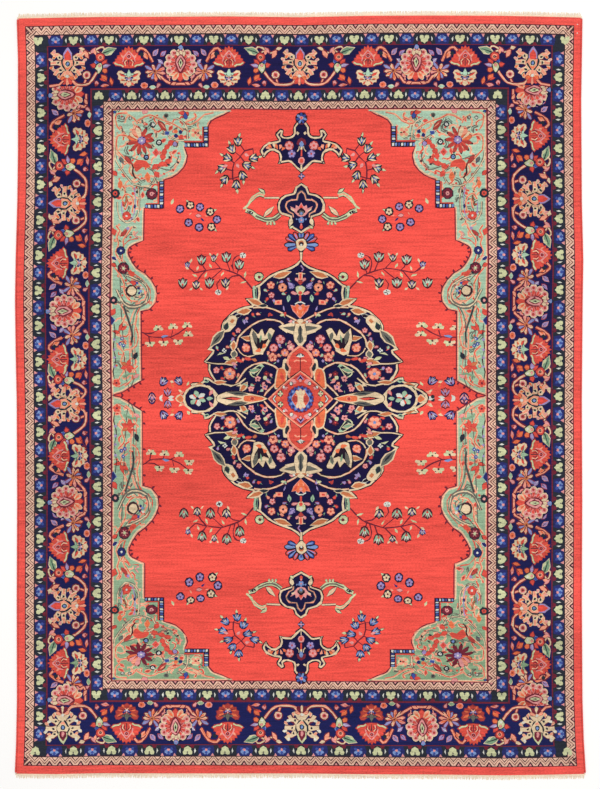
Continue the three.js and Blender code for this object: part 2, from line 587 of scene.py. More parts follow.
def draw_guards(weaver):
    """The two small guards, a row of cells along each side."""
    sides = {side.name: side for side in SIDES}
    for row in GUARD_ROWS:
        step = (row.end - row.start) / (row.cells - 1)
        with weaver.along(sides[row.side], row.depth, row.depth):
            corners = (0, row.cells - 1) if row.side in ("left", "right") else ()
            for index in range(row.cells):
                if index in corners:
                    continue
                drift = weaver.chance.uniform(-0.4, 0.4)
                turn = 0 if row.outward else 180
                with weaver.at(row.start + step * index + drift, 0, turn):
                    if index % 2:
                        draw_blue_cell(weaver, step)
                    else:
                        draw_pale_cell(weaver, 0 < index < row.cells - 1)


def draw_pale_cell(weaver, framed):
    """A pale five-lobed flower, with y toward the zigzag, between two pale slivers if it is framed."""
    for _ in weaver.both() if framed else ():
        weaver.fill("maroon", [(2.2, -5.6), (7.2, -5.6), (6, -2.6), (3.6, -2.4)], False)
        weaver.fill("white", [(7, 2.8), (8.5, 0.4), (7.4, -2.6), (6.7, 0)], False)
    weaver.fill(
        "pale_green",
        [(0, 2.6), (2.1, 4.2), (4.3, 3.7), (4.9, 1.2), (3.6, -0.6), (3.4, -2.6), (1.5, -3.2), (0, -4.6)],
        False, True,
    )
    weaver.fill("grey_sage", [(0, 3.4), (0.9, 1.8), (0, 0.6)], False, True)


def draw_blue_cell(weaver, step):
    """A blue rosette on a navy ground, with two pink triangles beside it toward the zigzag."""
    half = step / 2 - 1.2
    weaver.fill("guard_navy", [(half - 1.4, 5.3), (half, 0), (half - 1.4, -5)], False, True)
    for _ in weaver.both():
        weaver.fill("pink", [(4.5, 5.3), (8, 5.3), (6.2, 2.2)], False)
    for angle, dye in (
        (35, "light_blue"), (90, "mid_blue"), (145, "light_blue"), (205, "mid_blue"), (335, "mid_blue"),
    ):
        weaver.petal(dye, 0, -0.6, angle, 4.8, 3)
    weaver.dot("light_blue", 1.3, 3.2, 0.8, 5)
    weaver.dot("light_blue", -1.5, 3.2, 0.8, 5)
    weaver.dot("pink", 0, -0.9, 1.5, 6)


# Main border

BORDER_SIDE_DEPTH = 52.1
BORDER_END_DEPTH = 50.4
# Dyes that some motifs change for others at the near end.
NEAR_HEART = {"cream": "red_brown", "coral": "orange", "mint": "grey_sage"}
NEAR_PALMETTE = {
    "orange": "peach", "peach": "cream", "lilac": "pale_green", "coral": "maroon", "field_red": "pink",
    "pink": "white",
}
NEAR_CORNER_PALMETTE = {"coral": "maroon", "red_brown": "maroon", "cream": "pink"}


def draw_main_border(weaver):
    """A vine through palmettes, fans and rosettes, with the end borders running through the corners."""
    for side in SIDES:
        repeats = [repeat for repeat in REPEATS if repeat.side == side.name]
        across = side.name in ("far", "near")
        with weaver.along(side, BORDER_SIDE_DEPTH, BORDER_END_DEPTH):
            if across:
                weaver.fill(
                    "border_navy", [(-252.6, 20.6), (252.6, 20.6), (252.6, -18.6), (-252.6, -18.6)], False
                )
            # Painted shade: the motifs are drawn darker, more along the long sides than at the ends.
            with weaver.redyed({}, 0.97 if across else 0.91):
                draw_border_side(weaver, repeats, across, side.name == "near")


def draw_border_side(weaver, repeats, owns_corners, near):
    """One side's repeats, its round and pointed palmettes, and the vine's ends in the corners it owns."""
    for repeat in repeats:
        ahead = repeat.rosette > repeat.palmette
        bud, cluster, fan, lotus, rosette = (abs(place - repeat.palmette) for place in repeat[2:])
        with weaver.at(repeat.palmette, flip=not ahead):
            draw_vine(weaver, cluster, bud)
            with weaver.at(cluster):
                draw_cluster(weaver)
            with weaver.at(fan):
                draw_fan(weaver)
                with weaver.redyed(NEAR_HEART if near else {}):
                    draw_heart(weaver)
                draw_scroll(weaver, lotus - fan)
            with weaver.at(lotus, -5.2):
                draw_lotus(weaver)
            with weaver.at(rosette):
                draw_rosette_vine(weaver, rosette - lotus)
    for place in sorted({repeat.rosette for repeat in repeats}):
        with weaver.at(place, 3, weaver.chance.uniform(-2, 2)):
            draw_round_palmette(weaver)
    places = sorted({repeat.palmette for repeat in repeats})
    for place in places:
        with weaver.at(place, 4, weaver.chance.uniform(-2, 2)), weaver.redyed(NEAR_PALMETTE if near else {}):
            draw_palmette(weaver)
    if owns_corners:
        for place, flip in ((places[0], True), (places[-1], False)):
            with weaver.at(place, flip=flip):
                reach = 252 - abs(place)
                weaver.line(
                    "peach", [(4.5, -13), (8.5, -16.8), (14, -18), (reach, -18.2)], 1.7, edge="maroon",
                )


def draw_vine(weaver, cluster, bud):
    """The vine from a palmette's foot up to the cluster, with a ringed bud on a short stem."""
    share = cluster / 32
    route = [(4, -12), (9.4, -17), (19 * share, -17.2), (25.2 * share, -12.2), (30 * share, -4.5)]
    weaver.line("peach", [(bud - 2.6, -17), (bud - 1, -13), (bud, -9)], 1.5, edge="maroon")
    weaver.line("peach", route, 2, edge="maroon")
    weaver.line("cream", [(x + 0.3, y + 0.5) for x, y in route], 0.6)
    weaver.dot("cream", bud, -7.7, 3.9, 8, edge="maroon")
    weaver.dot("pink", bud, -7.7, 3, 8)
    weaver.dot("red_brown", bud, -7.7, 2, 6)
    weaver.dot("dark_teal", bud, -7.7, 0.8, 4)


def draw_cluster(weaver):
    """A small branch of mixed flowers and leaves that crosses the border."""
    weaver.line("cream", [(2, 13), (-3.5, 16.5), (-9, 14), (-13, 16), (-18, 19.5)], 1.4, edge="maroon")
    weaver.line("cream", [(-6, 14.5), (-1, 19), (4, 20), (6.5, 17.5)], 1.2, edge="maroon")
    weaver.each(weaver.leaf, (
        ("peach", -10.5, 9, 118, 10, 4, "maroon"), ("cream", -14, 17.8, 165, 6.5, 3.4, "maroon"),
        ("pink", -8, 14, 50, 7.5, 3.2, "maroon"), ("peach", -3.5, 12, 100, 6.5, 3),
    ))
    weaver.leaf("sage", 2.5, 13.4, 20, 15.5, 6.6, edge="cream", vein="dark_teal")
    weaver.leaf("pale_green", 9, 12.6, 28, 7, 2.6)
    weaver.leaf("coral", -2.4, 1, 165, 6.6, 4.2, edge="maroon")
    weaver.leaf("coral", 2.6, 2, 48, 7.4, 4.4, edge="maroon")
    weaver.leaf("lilac", 2.8, 1, 8, 8.6, 3.6, edge="maroon", vein="white")
    weaver.petal("orange", 1.8, -2, -22, 6.4, 4.6, edge="maroon")
    weaver.petal("mid_blue", -0.6, 2, 118, 5.6, 3.4, edge="light_blue", edge_width=0.5)
    weaver.fill(
        "coral", [(1.2, 13.8), (5, 12), (4.4, 7.6), (0.6, 5.8), (-2.6, 8), (-2.4, 12.2)], edge="maroon",
    )
    weaver.dot("peach", 1.2, 9.8, 2.6, 7)
    weaver.dot("maroon", 1.2, 9.6, 1.6, 6)
    weaver.dot("sage", 1.4, 9.6, 0.6, 4)
    weaver.fill(
        "pale_green", [(-3.2, 1.4), (0, 3.8), (3, 1.4), (2.4, -3), (0, -6), (-2.6, -3.4)], edge="dark_teal",
    )
    weaver.dot("pink", 0.2, 1.4, 1.3, 5, edge="tan", edge_width=0.5)
    weaver.dot("white", -0.4, -2.8, 1.3, 5)
    weaver.leaf("orange", 7.2, -13.8, 128, 8, 5.2, edge="maroon")
    weaver.leaf("coral", 5.2, -12.6, 168, 5, 2.4, edge="maroon", edge_width=0.4)
    weaver.petal("pink", -3.6, -18.8, 70, 4.6, 4, edge="maroon")
    weaver.dot("red_brown", -2.9, -17.3, 1.2, 5)
    weaver.leaf("pink", 1.4, -18.8, 6, 8.6, 2.8, edge="maroon")
    weaver.leaf("orange", 4, -18.8, 10, 5.4, 1.6)
    weaver.leaf("orange", 13.2, -17.8, 104, 7.8, 3.2, edge="maroon")
    weaver.line("maroon", [(5, -12), (9.5, -16), (13, -19)], 0.7)


def draw_fan(weaver):
    """A coral crown palmette that points outward."""
    crown = [
        (0, 11.4), (1.6, 8.6), (3.6, 10), (4.4, 7), (6.6, 7.8), (6.9, 4.8), (9.3, 5), (9, 2.4),
        (11.6, 2), (11.4, -1), (13.8, -1.6), (13.6, -3.6), (16.2, -5.2), (13, -8), (8.4, -8.8), (5, -10.2),
        (0, -10.4),
    ]
    with weaver.at(0, 9.6):
        weaver.fill("coral", crown, False, True, edge="maroon", edge_width=0.7)
        for _ in weaver.both():
            weaver.leaf("peach", 4.8, -1, 52, 5.4, 2.2)
            weaver.leaf("field_red", 7, -2.2, 28, 6, 2.4)
            weaver.leaf("orange", 2.6, 4.2, 70, 4.6, 1.8)
            weaver.line(
                "pale_green", [(14.6, -5.6), (11.4, -7.2), (8, -7.4), (5.6, -9.2)], 1.5, edge="red_brown",
                edge_width=0.4,
            )
            weaver.line("pink", [(6.3, -4.5), (5.2, 0.5), (2.6, 3.6), (0, 6.4)], 1.1)
            weaver.line("maroon", [(1, -3), (2.6, -4.6), (1.6, -7.4)], 0.8)
            weaver.line("maroon", [(3.6, -2.4), (5.4, -4.2), (4.6, -7.4)], 0.8)
            weaver.line("cream", [(2, -2), (4.2, -4.6), (3.2, -8.4)], 0.6)
        weaver.dot("pink", 0, 1, 2.5, 7)
        weaver.dot("maroon", 0, 1, 1.8, 6)
        weaver.dot("coral", 0, 1, 0.8, 4)
        weaver.line("dark_teal", [(0, -1.6), (0, -9.4)], 0.7, smooth=False)


def draw_heart(weaver):
    """A heart-shaped flower under the fan, orange lobes edged with pale green."""
    lobes = [
        (0, 6), (3.2, 3.4), (6.4, 6.4), (9, 8), (12.6, 7.4), (14.2, 4.4), (12.4, 1.6), (13.2, -1.6),
        (10.4, -3.4), (10, -6.4), (7, -6.8), (5.6, -9.6), (3, -9.2), (0, -11.2),
    ]
    with weaver.at(0, -10.4, size=0.84):
        weaver.fill("cream", lobes, False, True, edge="maroon", edge_width=0.8)
        for _ in weaver.both():
            weaver.leaf("coral", 4.6, 1, 28, 8.4, 3.4)
            weaver.leaf("orange", 5.2, -2.4, -8, 5.6, 2.4)
            weaver.petal("coral", 2.6, -5.4, -52, 4.6, 2.4)
            weaver.line("maroon", [(3.4, 1.6), (8, 4.4), (11, 5)], 0.9)
            weaver.line("maroon", [(4.2, -3.6), (9, -4)], 0.8, smooth=False)
            weaver.leaf("mint", 0.6, 3.4, 8, 6, 2.6, edge="dark_teal", edge_width=0.5)
            weaver.petal("guard_navy", 1.6, -0.4, 4, 3.8, 2.8)
        weaver.fill(
            "mint", [(0, 10), (1.6, 6.4), (2.6, 3), (0, 0.4)], True, True, edge="dark_teal", edge_width=0.5,
        )
        weaver.dot("dark_teal", 0, -2.6, 4, 8, 0.8)
        for angle, dye in ((90, "pink"), (20, "lilac"), (160, "lilac"), (235, "peach"), (305, "peach")):
            weaver.petal(dye, 0, -2.6, angle, 3.4, 2.2)
        weaver.dot("white", 0, -3, 1.1, 5)


def draw_scroll(weaver, lotus):
    """The scroll from the fan over to the lotus."""
    share = lotus / 26
    route = [(8, 15.4), (11, 18.6), (15 * share, 18), (19.4 * share, 13), (23.4 * share, 5)]
    weaver.line("peach", route, 2.2, edge="maroon")
    weaver.line("orange", [(x, y - 0.6) for x, y in route[1:]], 0.8)
    weaver.leaf("peach", 15 * share, 14.6, -62, 7.6, 4.4, edge="maroon")
    weaver.leaf("orange", 16.6 * share, 13, -62, 4.6, 2)
    weaver.dot("dark_teal", 13, 12.6, 2.2, 6)


def draw_lotus(weaver):
    """An open flower seen from the side, with long petals in several dyes."""
    petals = (
        (150, 11.5, "lilac", "light_blue"), (182, 9.6, "peach", "cream"), (214, 9.2, "orange", "cream"),
        (246, 8.2, "lilac", "light_blue"), (276, 9.4, "orange", "peach"), (312, 10.2, "peach", "cream"),
        (350, 10.4, "peach", "pink"), (20, 11, "orange", "pink"), (56, 10.2, "lilac", "light_blue"),
        (112, 7.2, "peach", "cream"),
    )
    weaver.dot("maroon", 0, 0.5, 4.2, 8)
    for angle, length, dye, edge in petals:
        weaver.petal(dye, 0, 0.5, angle, length, 3, edge="maroon", edge_width=1)
        weaver.petal(edge, 0, 0.5, angle, length, 2.9)
        weaver.petal(dye, 0, 0.5, angle, length - 1, 1.5)
    weaver.dot("tan", 0, 0.8, 2.4, 7)
    weaver.dot("maroon", -0.4, 0.8, 1.2, 5)
    weaver.leaf("lilac", -2, 16.6, 52, 8, 3.8, edge="pink", edge_width=0.6, vein="maroon")
    weaver.leaf("lilac", 5.6, 16, 46, 7.6, 3.8, edge="red_brown", edge_width=0.6, vein="maroon")
    weaver.leaf("lilac", 2.6, 12.8, -40, 7.4, 3.4, edge="maroon", edge_width=0.6, vein="white")
    weaver.dot("orange", -10.8, -13.2, 2.9, 7, 0.85, edge="pink")
    weaver.dot("red_brown", -11.2, -13.2, 1.2, 5)
    weaver.leaf("mint", -5.4, -15, 0, 6.4, 3.2, edge="cream", edge_width=0.5)
    weaver.petal("pink", 2, -15.8, 60, 5.2, 3.2, edge="maroon")


def draw_rosette_vine(weaver, lotus):
    """The vine that runs in under the round palmette, with a bud on it."""
    weaver.line("peach", [(0.5, -17), (-7, -17), (-12.5, -15.6), (-lotus + 6, -9.6)], 1.8, edge="maroon")
    weaver.leaf("peach", -10, -17.6, 20, 6.4, 3.2, edge="maroon")
    weaver.dot("pink", -11.4, -8.4, 2.9, 7, edge="maroon")
    weaver.dot("orange", -11.4, -8, 1.9, 6)
    weaver.line("peach", [(-11.4, -11), (-11, -14)], 0.9, smooth=False)


def draw_round_palmette(weaver):
    """The border's largest flower: ringed petals round an upright oval core on a leafy foot."""
    weaver.dot("navy", 0, 0, 17, 14)
    weaver.fill("coral", [(0, -6), (4.6, -9), (3.6, -13.6), (0, -17.6)], True, True, edge="maroon")
    for _ in weaver.both():
        weaver.each(weaver.petal, (
            ("peach", 1.8, -8.6, -52, 8.8, 4.2, "cream", 0.7), ("orange", 2.4, -9, -52, 5.6, 2.2),
            ("peach", 2.6, -7, -24, 9.4, 4, "cream", 0.7), ("coral", 3.4, -7.2, -24, 5.6, 1.8),
        ))
    weaver.fill(
        "red_brown", [(0, 8.6), (6.6, 6.8), (9.4, 1.6), (8, -4.6), (3.6, -8.4), (0, -9.4)], True, True,
    )
    for index in range(9):
        angle = -33 + 30.75 * index
        turn = cmath.rect(12.2, math.radians(angle))
        x, y = turn.real * 1.06, turn.imag
        weaver.dot("cream", x, y, 4, 9)
        weaver.dot("pink", x, y, 3.1, 8)
        weaver.dot("red_brown", x * 1.03, y * 1.03, 1.5, 6)
        weaver.petal("coral", x * 0.45, y * 0.45, angle, 5, 2.8, edge="pink", edge_width=0.6)
    weaver.petal("light_blue", 0, 13.4, 90, 5, 4.6, edge="navy", edge_width=0.7)
    weaver.petal("lilac", 0, 13.8, 90, 3.2, 2.2)
    for angle in (64, 90, 116):
        weaver.petal("cream", 0, 4, angle, 9.4, 3.4, edge="maroon", edge_width=0.5)
    weaver.fill("maroon", [(0, 9.8), (4.8, 5), (5.4, -1), (0, -9.4)], True, True)
    weaver.fill("pink", [(0, 8.8), (3.8, 4.4), (4.2, -0.6), (0, -7.6)], True, True)
    weaver.fill("maroon", [(0, 7), (2.7, 3.4), (2.9, -0.4), (0, -5.4)], True, True)
    weaver.fill("pale_green", [(0, 5.8), (1.7, 2.8), (1.8, -0.4), (0, -3.8)], True, True)
    weaver.fill("dark_teal", [(0, 3.4), (0.8, 1.6), (0, -1.6)], True, True)


def draw_palmette(weaver):
    """The pointed palmette with three scrolled arms on each side and a leafy foot."""
    for _ in weaver.both():
        weaver.line(
            "peach", [(1.6, -6.4), (3.4, -10), (6.4, -13.4), (8.4, -15.2)], 2.6, 0.6, edge="cream",
            edge_width=0.5,
        )
        arms = (
            ([(4.2, 1), (7, 5.4), (10, 8.4), (13.4, 9), (16.2, 11.6)], 8.4, 6.2),
            ([(4.8, -0.6), (9, 1), (13, 0.6), (17.2, 0.2)], 9.6, 0.7),
            ([(3.8, -3.8), (7.2, -6.4), (10.6, -7.8), (12.8, -11.6)], 6.8, -6.8),
        )
        for route, dot_x, dot_y in arms:
            weaver.line("maroon", route, 6.6, 0.7)
            weaver.line("cream", route, 5.2, 0.66)
            weaver.line("peach", route, 3.4, 0.6)
            weaver.dot("cream", dot_x, dot_y, 2.3, 7)
            weaver.dot("dark_teal", dot_x, dot_y, 1.3, 6)
        for x, y, angle in (
            (14, 9.4, 84), (12.4, 7.6, -32), (16, 2.6, 28), (15.2, -2.6, -40), (12, -6.6, 6),
            (9.4, -10.4, -84),
        ):
            weaver.petal(
                "pink" if angle > 0 else "orange", x - 1, y, angle, 4.2, 2.2, edge="cream", edge_width=0.5,
            )
    weaver.fill(
        "dark_teal", [(0, 8), (5.9, 4.6), (6.2, -0.6), (4, -5), (0, -8.6)], True, True, edge="cream",
        edge_width=0.5,
    )
    weaver.fill("peach", [(0, 7), (4.7, 3.8), (4.9, -0.4), (3, -4.2), (0, -7)], True, True)
    weaver.fill("orange", [(0, -2.4), (2.6, -3), (0, -6.2)], True, True)
    weaver.dot("cream", 0, -0.2, 3.2, 8, 1.15)
    weaver.dot("dark_teal", 0, -0.2, 2.5, 8, 1.15)
    weaver.dot("light_blue", 0, -0.2, 1.4, 6, 1.3)
    weaver.fill(
        "lilac", [(0, 16.2), (2.2, 13.6), (4.2, 10.4), (4.4, 5.4), (2, 4), (0, 3.8)], True, True,
        edge="dark_teal", edge_width=0.7,
    )
    weaver.fill("coral", [(0, 14), (1.8, 11.6), (3.5, 8.6), (3.2, 4.2), (0, 3.2)], True, True)
    weaver.fill("field_red", [(0, 9.4), (1.7, 7), (1.3, 4.4), (0, 4)], True, True)
    for _ in weaver.both():
        weaver.petal("orange", 0.6, -12.6, -28, 6.6, 3.4, edge="maroon", edge_width=0.5)
        weaver.petal("coral", 0.6, -13.6, -62, 7.8, 3.6, edge="maroon", edge_width=0.5)
    weaver.petal("peach", 0, -14.4, -90, 7.4, 2.8, edge="maroon", edge_width=0.5)
    weaver.fill(
        "peach", [(0, -6), (1.8, -9), (2.6, -12.4), (0, -14)], True, True, edge="cream", edge_width=0.5,
    )
    weaver.dot("white", 0, -12.6, 1.7, 6, edge="tan", edge_width=0.5)


# Field

MIDDLE_X = 1.25
MIDDLE_Y = -3.2

# A corner's ground, as places in from the field's corner along the end and along the side.
CORNER_EDGE = (
    (0, 0, 1), (120.5, 0, 1), (117.5, 2.6), (109.7, 6.7), (103.6, 8.9), (99.6, 11.5), (96.6, 16.4, 1),
    (96.6, 37.6, 1), (72.4, 37.6, 1), (74.8, 44), (75.1, 49), (73, 55.7), (68.6, 61.8), (63.4, 66.1),
    (57.3, 68.8), (51.8, 70.4, 1), (51.8, 98.8, 1), (32.6, 98.8, 1), (32.6, 131, 1), (24.1, 134.5),
    (18.3, 137.8), (17, 143), (19.6, 149.5), (26.1, 158.7), (34, 163.9), (40.5, 170.5), (45.1, 178.3),
    (46.4, 184.8), (45.1, 192.7), (39.1, 200), (30.6, 201.8, 1), (30.6, 271, 1), (15.7, 279.8), (9, 283.4),
    (0, 285.6, 1),
)

# A quarter of the medallion's edge, out from its middle and up.
MEDALLION_EDGE = (
    (0, 138.5, 1), (3.4, 134.6), (9, 131.2), (15, 128.6), (23, 126.2), (29, 123.4), (35, 118.8), (40, 113.8),
    (44.6, 111.5), (46.6, 106), (45.8, 100), (47.6, 98.6), (54.4, 99.4, 1), (50.2, 95.6), (47, 92.4),
    (52, 91.6), (57.6, 90.2), (63, 87.6), (66.6, 86.2), (70.8, 81.9), (75.7, 76.8), (78, 72.2), (78.2, 66.4),
    (83, 58.4), (87.6, 53), (92.2, 49, 1), (87, 47.2), (90, 42.4), (95.8, 36.6, 1), (91.4, 34.4),
    (91.6, 28.3),
    (89.2, 22.6), (85.4, 17.6), (88, 16.6), (92.6, 19.8), (96.2, 20.4, 1), (96.6, 16.6), (102, 14.6),
    (109.6, 14.4, 1),
    (107.2, 10.6), (112.4, 7.6), (116.6, 3.6), (118, 0),
)


def squeezed(spot):
    """The near corners are drawn shorter than the far ones up to the long side strip."""
    if spot.imag < 100:
        return complex(spot.real * 1.01, spot.imag * 0.84)
    return complex(spot.real * 1.01, 84 + (spot.imag - 100) * 1.0862)


def widened(spot):
    """The medallion's right half is drawn a little wider than its left one."""
    return complex(spot.real * (1 + 0.065 * max(0, spot.real) / 95), spot.imag)


def narrowed(spot):
    """The middle diamond is drawn a little narrower than its chart."""
    return complex(spot.real * 0.88, spot.imag)


def corners_of_field(weaver):
    """The frames of the four corners: x in along the end and y in along the side."""
    for right, far in ((False, True), (True, True), (False, False), (True, False)):
        x = FIELD_HALF_WIDTH if right else -FIELD_HALF_WIDTH
        y = FIELD_HALF_LENGTH if far else -FIELD_HALF_LENGTH
        turn = 180 if far else 0
        with weaver.at(x, y, turn, flip=right != far, bend=None if far else squeezed):
            yield far


def quarters_of_medallion(weaver):
    """The frames of the medallion's four quarters: x out from its axis and y out from its middle line."""
    for right in (False, True):
        for far in (True, False):
            bend = widened if right else None
            with weaver.at(MIDDLE_X, MIDDLE_Y, 0 if far else 180, flip=right != far, bend=bend):
                yield


def draw_grounds(weaver):
    """The corners' and the medallion's grounds with their outlines."""
    for _ in corners_of_field(weaver):
        ring = turned_left(smoothed(CORNER_EDGE, True, 3))
        weaver.ring("maroon", grown(ring, 0.7))
        weaver.ring("peach", grown(ring, -0.5))
        weaver.ring("cream", grown(ring, -1.2))
        weaver.ring("mint", grown(ring, -2.2))
    near_half = ((x, -y, *rest) for x, y, *rest in reversed(MEDALLION_EDGE[:-1]))
    outline = [*MEDALLION_EDGE, *near_half]
    left = [(-x, y, *rest) for x, y, *rest in outline[1:-1]]
    whole = turned_left(smoothed([*outline, *reversed(left)], True, 3))
    with weaver.at(MIDDLE_X, MIDDLE_Y, bend=widened):
        weaver.ring("ink", grown(whole, 1.5))
        weaver.ring("cream", grown(whole, 0.5))
        weaver.ring("navy", grown(whole, -1.3))


def draw_field(weaver):
    """The sprays, the corners, what lies on the long axis and the medallion, each over the one before."""
    draw_sprays(weaver)
    draw_grounds(weaver)
    draw_axis(weaver)
    for far in corners_of_field(weaver):
        draw_hooks(weaver)
        draw_contours(weaver)
        draw_corner_edge(weaver)
        draw_corner_scrolls(weaver)
        draw_corner_flowers(weaver, far)
        draw_side_strip(weaver)
        draw_strip_flowers(weaver)
    for _ in quarters_of_medallion(weaver):
        draw_medallion_quarter(weaver)
    with weaver.at(MIDDLE_X, MIDDLE_Y):
        draw_medallion_heart(weaver)


# Sprays of flowers on the red field

SPRAY_CUP = (
    (-1.1, 0), (-0.8, 0.52), (-0.1, 0.8), (0.86, 0.84), (0.74, 0.42), (1.2, 0), (0.74, -0.42), (0.86, -0.84),
    (-0.1, -0.8), (-0.8, -0.52),
)


def spray_flower(weaver, x, y, degrees, size, dyes, leaf=True):
    """A dark flower that opens outward, with pale petals round a small heart and a leaf beyond it."""
    with weaver.at(x, y, degrees, size):
        if leaf:
            lean = weaver.chance.uniform(-25, 25)
            weaver.leaf("maroon", 0.7, 0, lean, 1.7, 0.8)
            weaver.leaf("pale_green", 0.8, 0, lean, 1.5, 0.5)
        cup = turned_left(plain(SPRAY_CUP))
        weaver.ring("ink", grown(cup, 0.2))
        weaver.ring(dyes[0], cup)
        for side in (1, -1):
            weaver.leaf(dyes[1], -0.9, side * 0.1, side * 30, 1.95, 0.42)
            weaver.leaf(dyes[2], -0.5, side * 0.06, side * 14, 1.5, 0.26)
        weaver.leaf(dyes[1], -0.6, 0, 0, 1.72, 0.3)
        weaver.dot(dyes[3], -0.26, 0, 0.27, 5)


NIGHT = ("dark_teal", "cream", "lilac", "guard_navy")
PLUM = ("guard_navy", "lilac", "white", "maroon")
WINE = ("maroon", "mint", "white", "coral")
TEAL = ("dark_teal", "cream", "light_blue", "mid_blue")
BLUE = ("guard_navy", "light_blue", "cream", "lilac")


def draw_sprays(weaver):
    """The sprays and branches on the open field, four of each."""
    for far in corners_of_field(weaver):
        draw_round_spray(weaver, TEAL if far else BLUE)
        draw_oval_spray(weaver)
    for _ in quarters_of_medallion(weaver):
        draw_branch(weaver)
        draw_pale_branch(weaver)
        with weaver.at(0, -1.5):
            draw_side_spray(weaver)


def draw_round_spray(weaver, dyes):
    """Nine flowers round a bent stem."""
    stem = [(121, 69.5), (120.9, 61.5), (122.7, 53.9), (128.8, 47.2), (133, 41.5), (141.5, 39.4)]
    weaver.line("maroon", stem, 1.5)
    flowers = (
        (126.3, 32.4), (120.1, 40.1), (116.1, 48.8), (110.7, 59), (113.3, 70.2), (124.7, 75.3), (131.1, 66.1),
        (135.2, 55.9), (142.1, 48.8),
    )
    middle = complex(126, 53)
    for x, y in flowers:
        outward = math.degrees(cmath.phase(complex(x, y) - middle))
        near = min(stem, key=lambda spot: math.hypot(spot[0] - x, spot[1] - y))
        weaver.line("maroon", [near, (x, y)], 1.2, smooth=False)
        spray_flower(weaver, x, y, outward, 4.2, dyes)
    for x, y, angle in ((125.8, 55.4, 60), (133.4, 45.7, 20), (117, 57, 160)):
        weaver.leaf("pink", x - 1, y - 1, angle, 5.4, 3, edge="coral", edge_width=0.5)


def draw_oval_spray(weaver):
    """Eight flowers in an oval round a small bud."""
    flowers = (
        (68.4, 99.6, 1), (78.7, 95.8, 0), (88.5, 97.7, 1), (98.8, 102.6, 0), (105.6, 110.3, 1),
        (100.2, 117.7, 0),
        (87.8, 118, 1), (77.2, 113.3, 1),
    )
    middle = complex(87, 107)
    for x, y, plum in flowers:
        outward = math.degrees(cmath.phase(complex(x, y) - middle))
        if not plum:
            weaver.leaf("pale_green", x, y, outward, 7.2, 2.6, edge="maroon", edge_width=0.5)
        weaver.dot("ink", x, y, 4.7, 8)
        weaver.rosette(
            x, y, 3.4, "lilac" if plum else "cream", "maroon", "guard_navy" if plum else "dark_teal",
        )
    weaver.each(weaver.leaf, (
        ("pink", 84, 106, 8, 6.4, 3.2, "maroon", 0.5), ("guard_navy", 89, 109, 38, 5, 2.4),
        ("peach", 80, 103, 130, 4, 1.4), ("peach", 93, 106, 20, 4, 1.4),
        ("pale_green", 59.6, 95.4, -70, 6.8, 3),
    ))


def draw_branch(weaver):
    """The branch that leaves the medallion's shoulder."""
    main_stem = [
        (47.6, 109.3), (55.7, 118.5), (62, 123.4), (68.3, 125.8), (78.9, 129.4), (88.7, 128.7), (94.3, 127.6),
        (98.5, 124), (103, 117),
    ]
    weaver.line("maroon", main_stem, 1.6, 0.7)
    stems = (
        [(94.3, 127.9), (101.3, 126.2), (106.2, 125.6), (112, 131)],
        [(94.3, 128), (97, 131), (98.8, 135)],
        [(79.5, 129.2), (83, 133), (86.9, 137.5)],
        [(70.5, 127), (72, 132), (74.3, 137)],
        [(66, 125.4), (67.8, 131), (67.4, 138), (64, 142), (58.5, 143)],
        [(63.5, 124.4), (62.4, 128), (61.6, 131)],
        [(78, 129), (86, 122), (90.5, 118)],
        [(61, 122.8), (68, 121.6), (72.6, 118)],
        [(80, 119), (83.4, 114), (82.2, 108.6)],
    )
    for stem in stems:
        weaver.line("maroon", stem, 1.1)
    for x, y, size, dyes in (
        (99.2, 138.1, 4.4, WINE), (74.3, 140.6, 4.6, WINE), (61.3, 133.2, 4.6, WINE), (117.5, 115, 4.4, WINE),
        (104.1, 113.2, 3.8, NIGHT), (90.8, 115, 4.6, WINE), (74.7, 115, 4.2, NIGHT),
        (86.9, 139.9, 3.2, NIGHT), (113.2, 133.2, 2.8, PLUM),
    ):
        spray_flower(weaver, x, y, 90, size, dyes, False)
    for x, y in ((57.8, 142.7), (82, 105.8)):
        weaver.dot("white", x, y, 3.4, 8, 0.85)
        for angle in (0, 90, 180, 270):
            weaver.petal("dark_teal", x, y, angle + 20, 2.6, 1.2)
    for x, y, angle, length in (
        (103.8, 127.4, 110, 5), (88.7, 129.8, 60, 5.6), (93.6, 126.1, -70, 6.4), (76.8, 126.4, -60, 5.6),
        (108.4, 124.2, -150, 6.6), (56, 120, 100, 7), (54, 117, -20, 7), (89.5, 142, 60, 3.6),
        (84.4, 142, 120, 3.6), (110.5, 135, 110, 5), (115.5, 131.5, 215, 5), (71.6, 112, -60, 5),
        (100.8, 110.6, -140, 4.4), (107.4, 110.6, -40, 4.4),
    ):
        weaver.leaf("pale_green" if length > 5.2 else "cream", x, y, angle, length, 2.2)


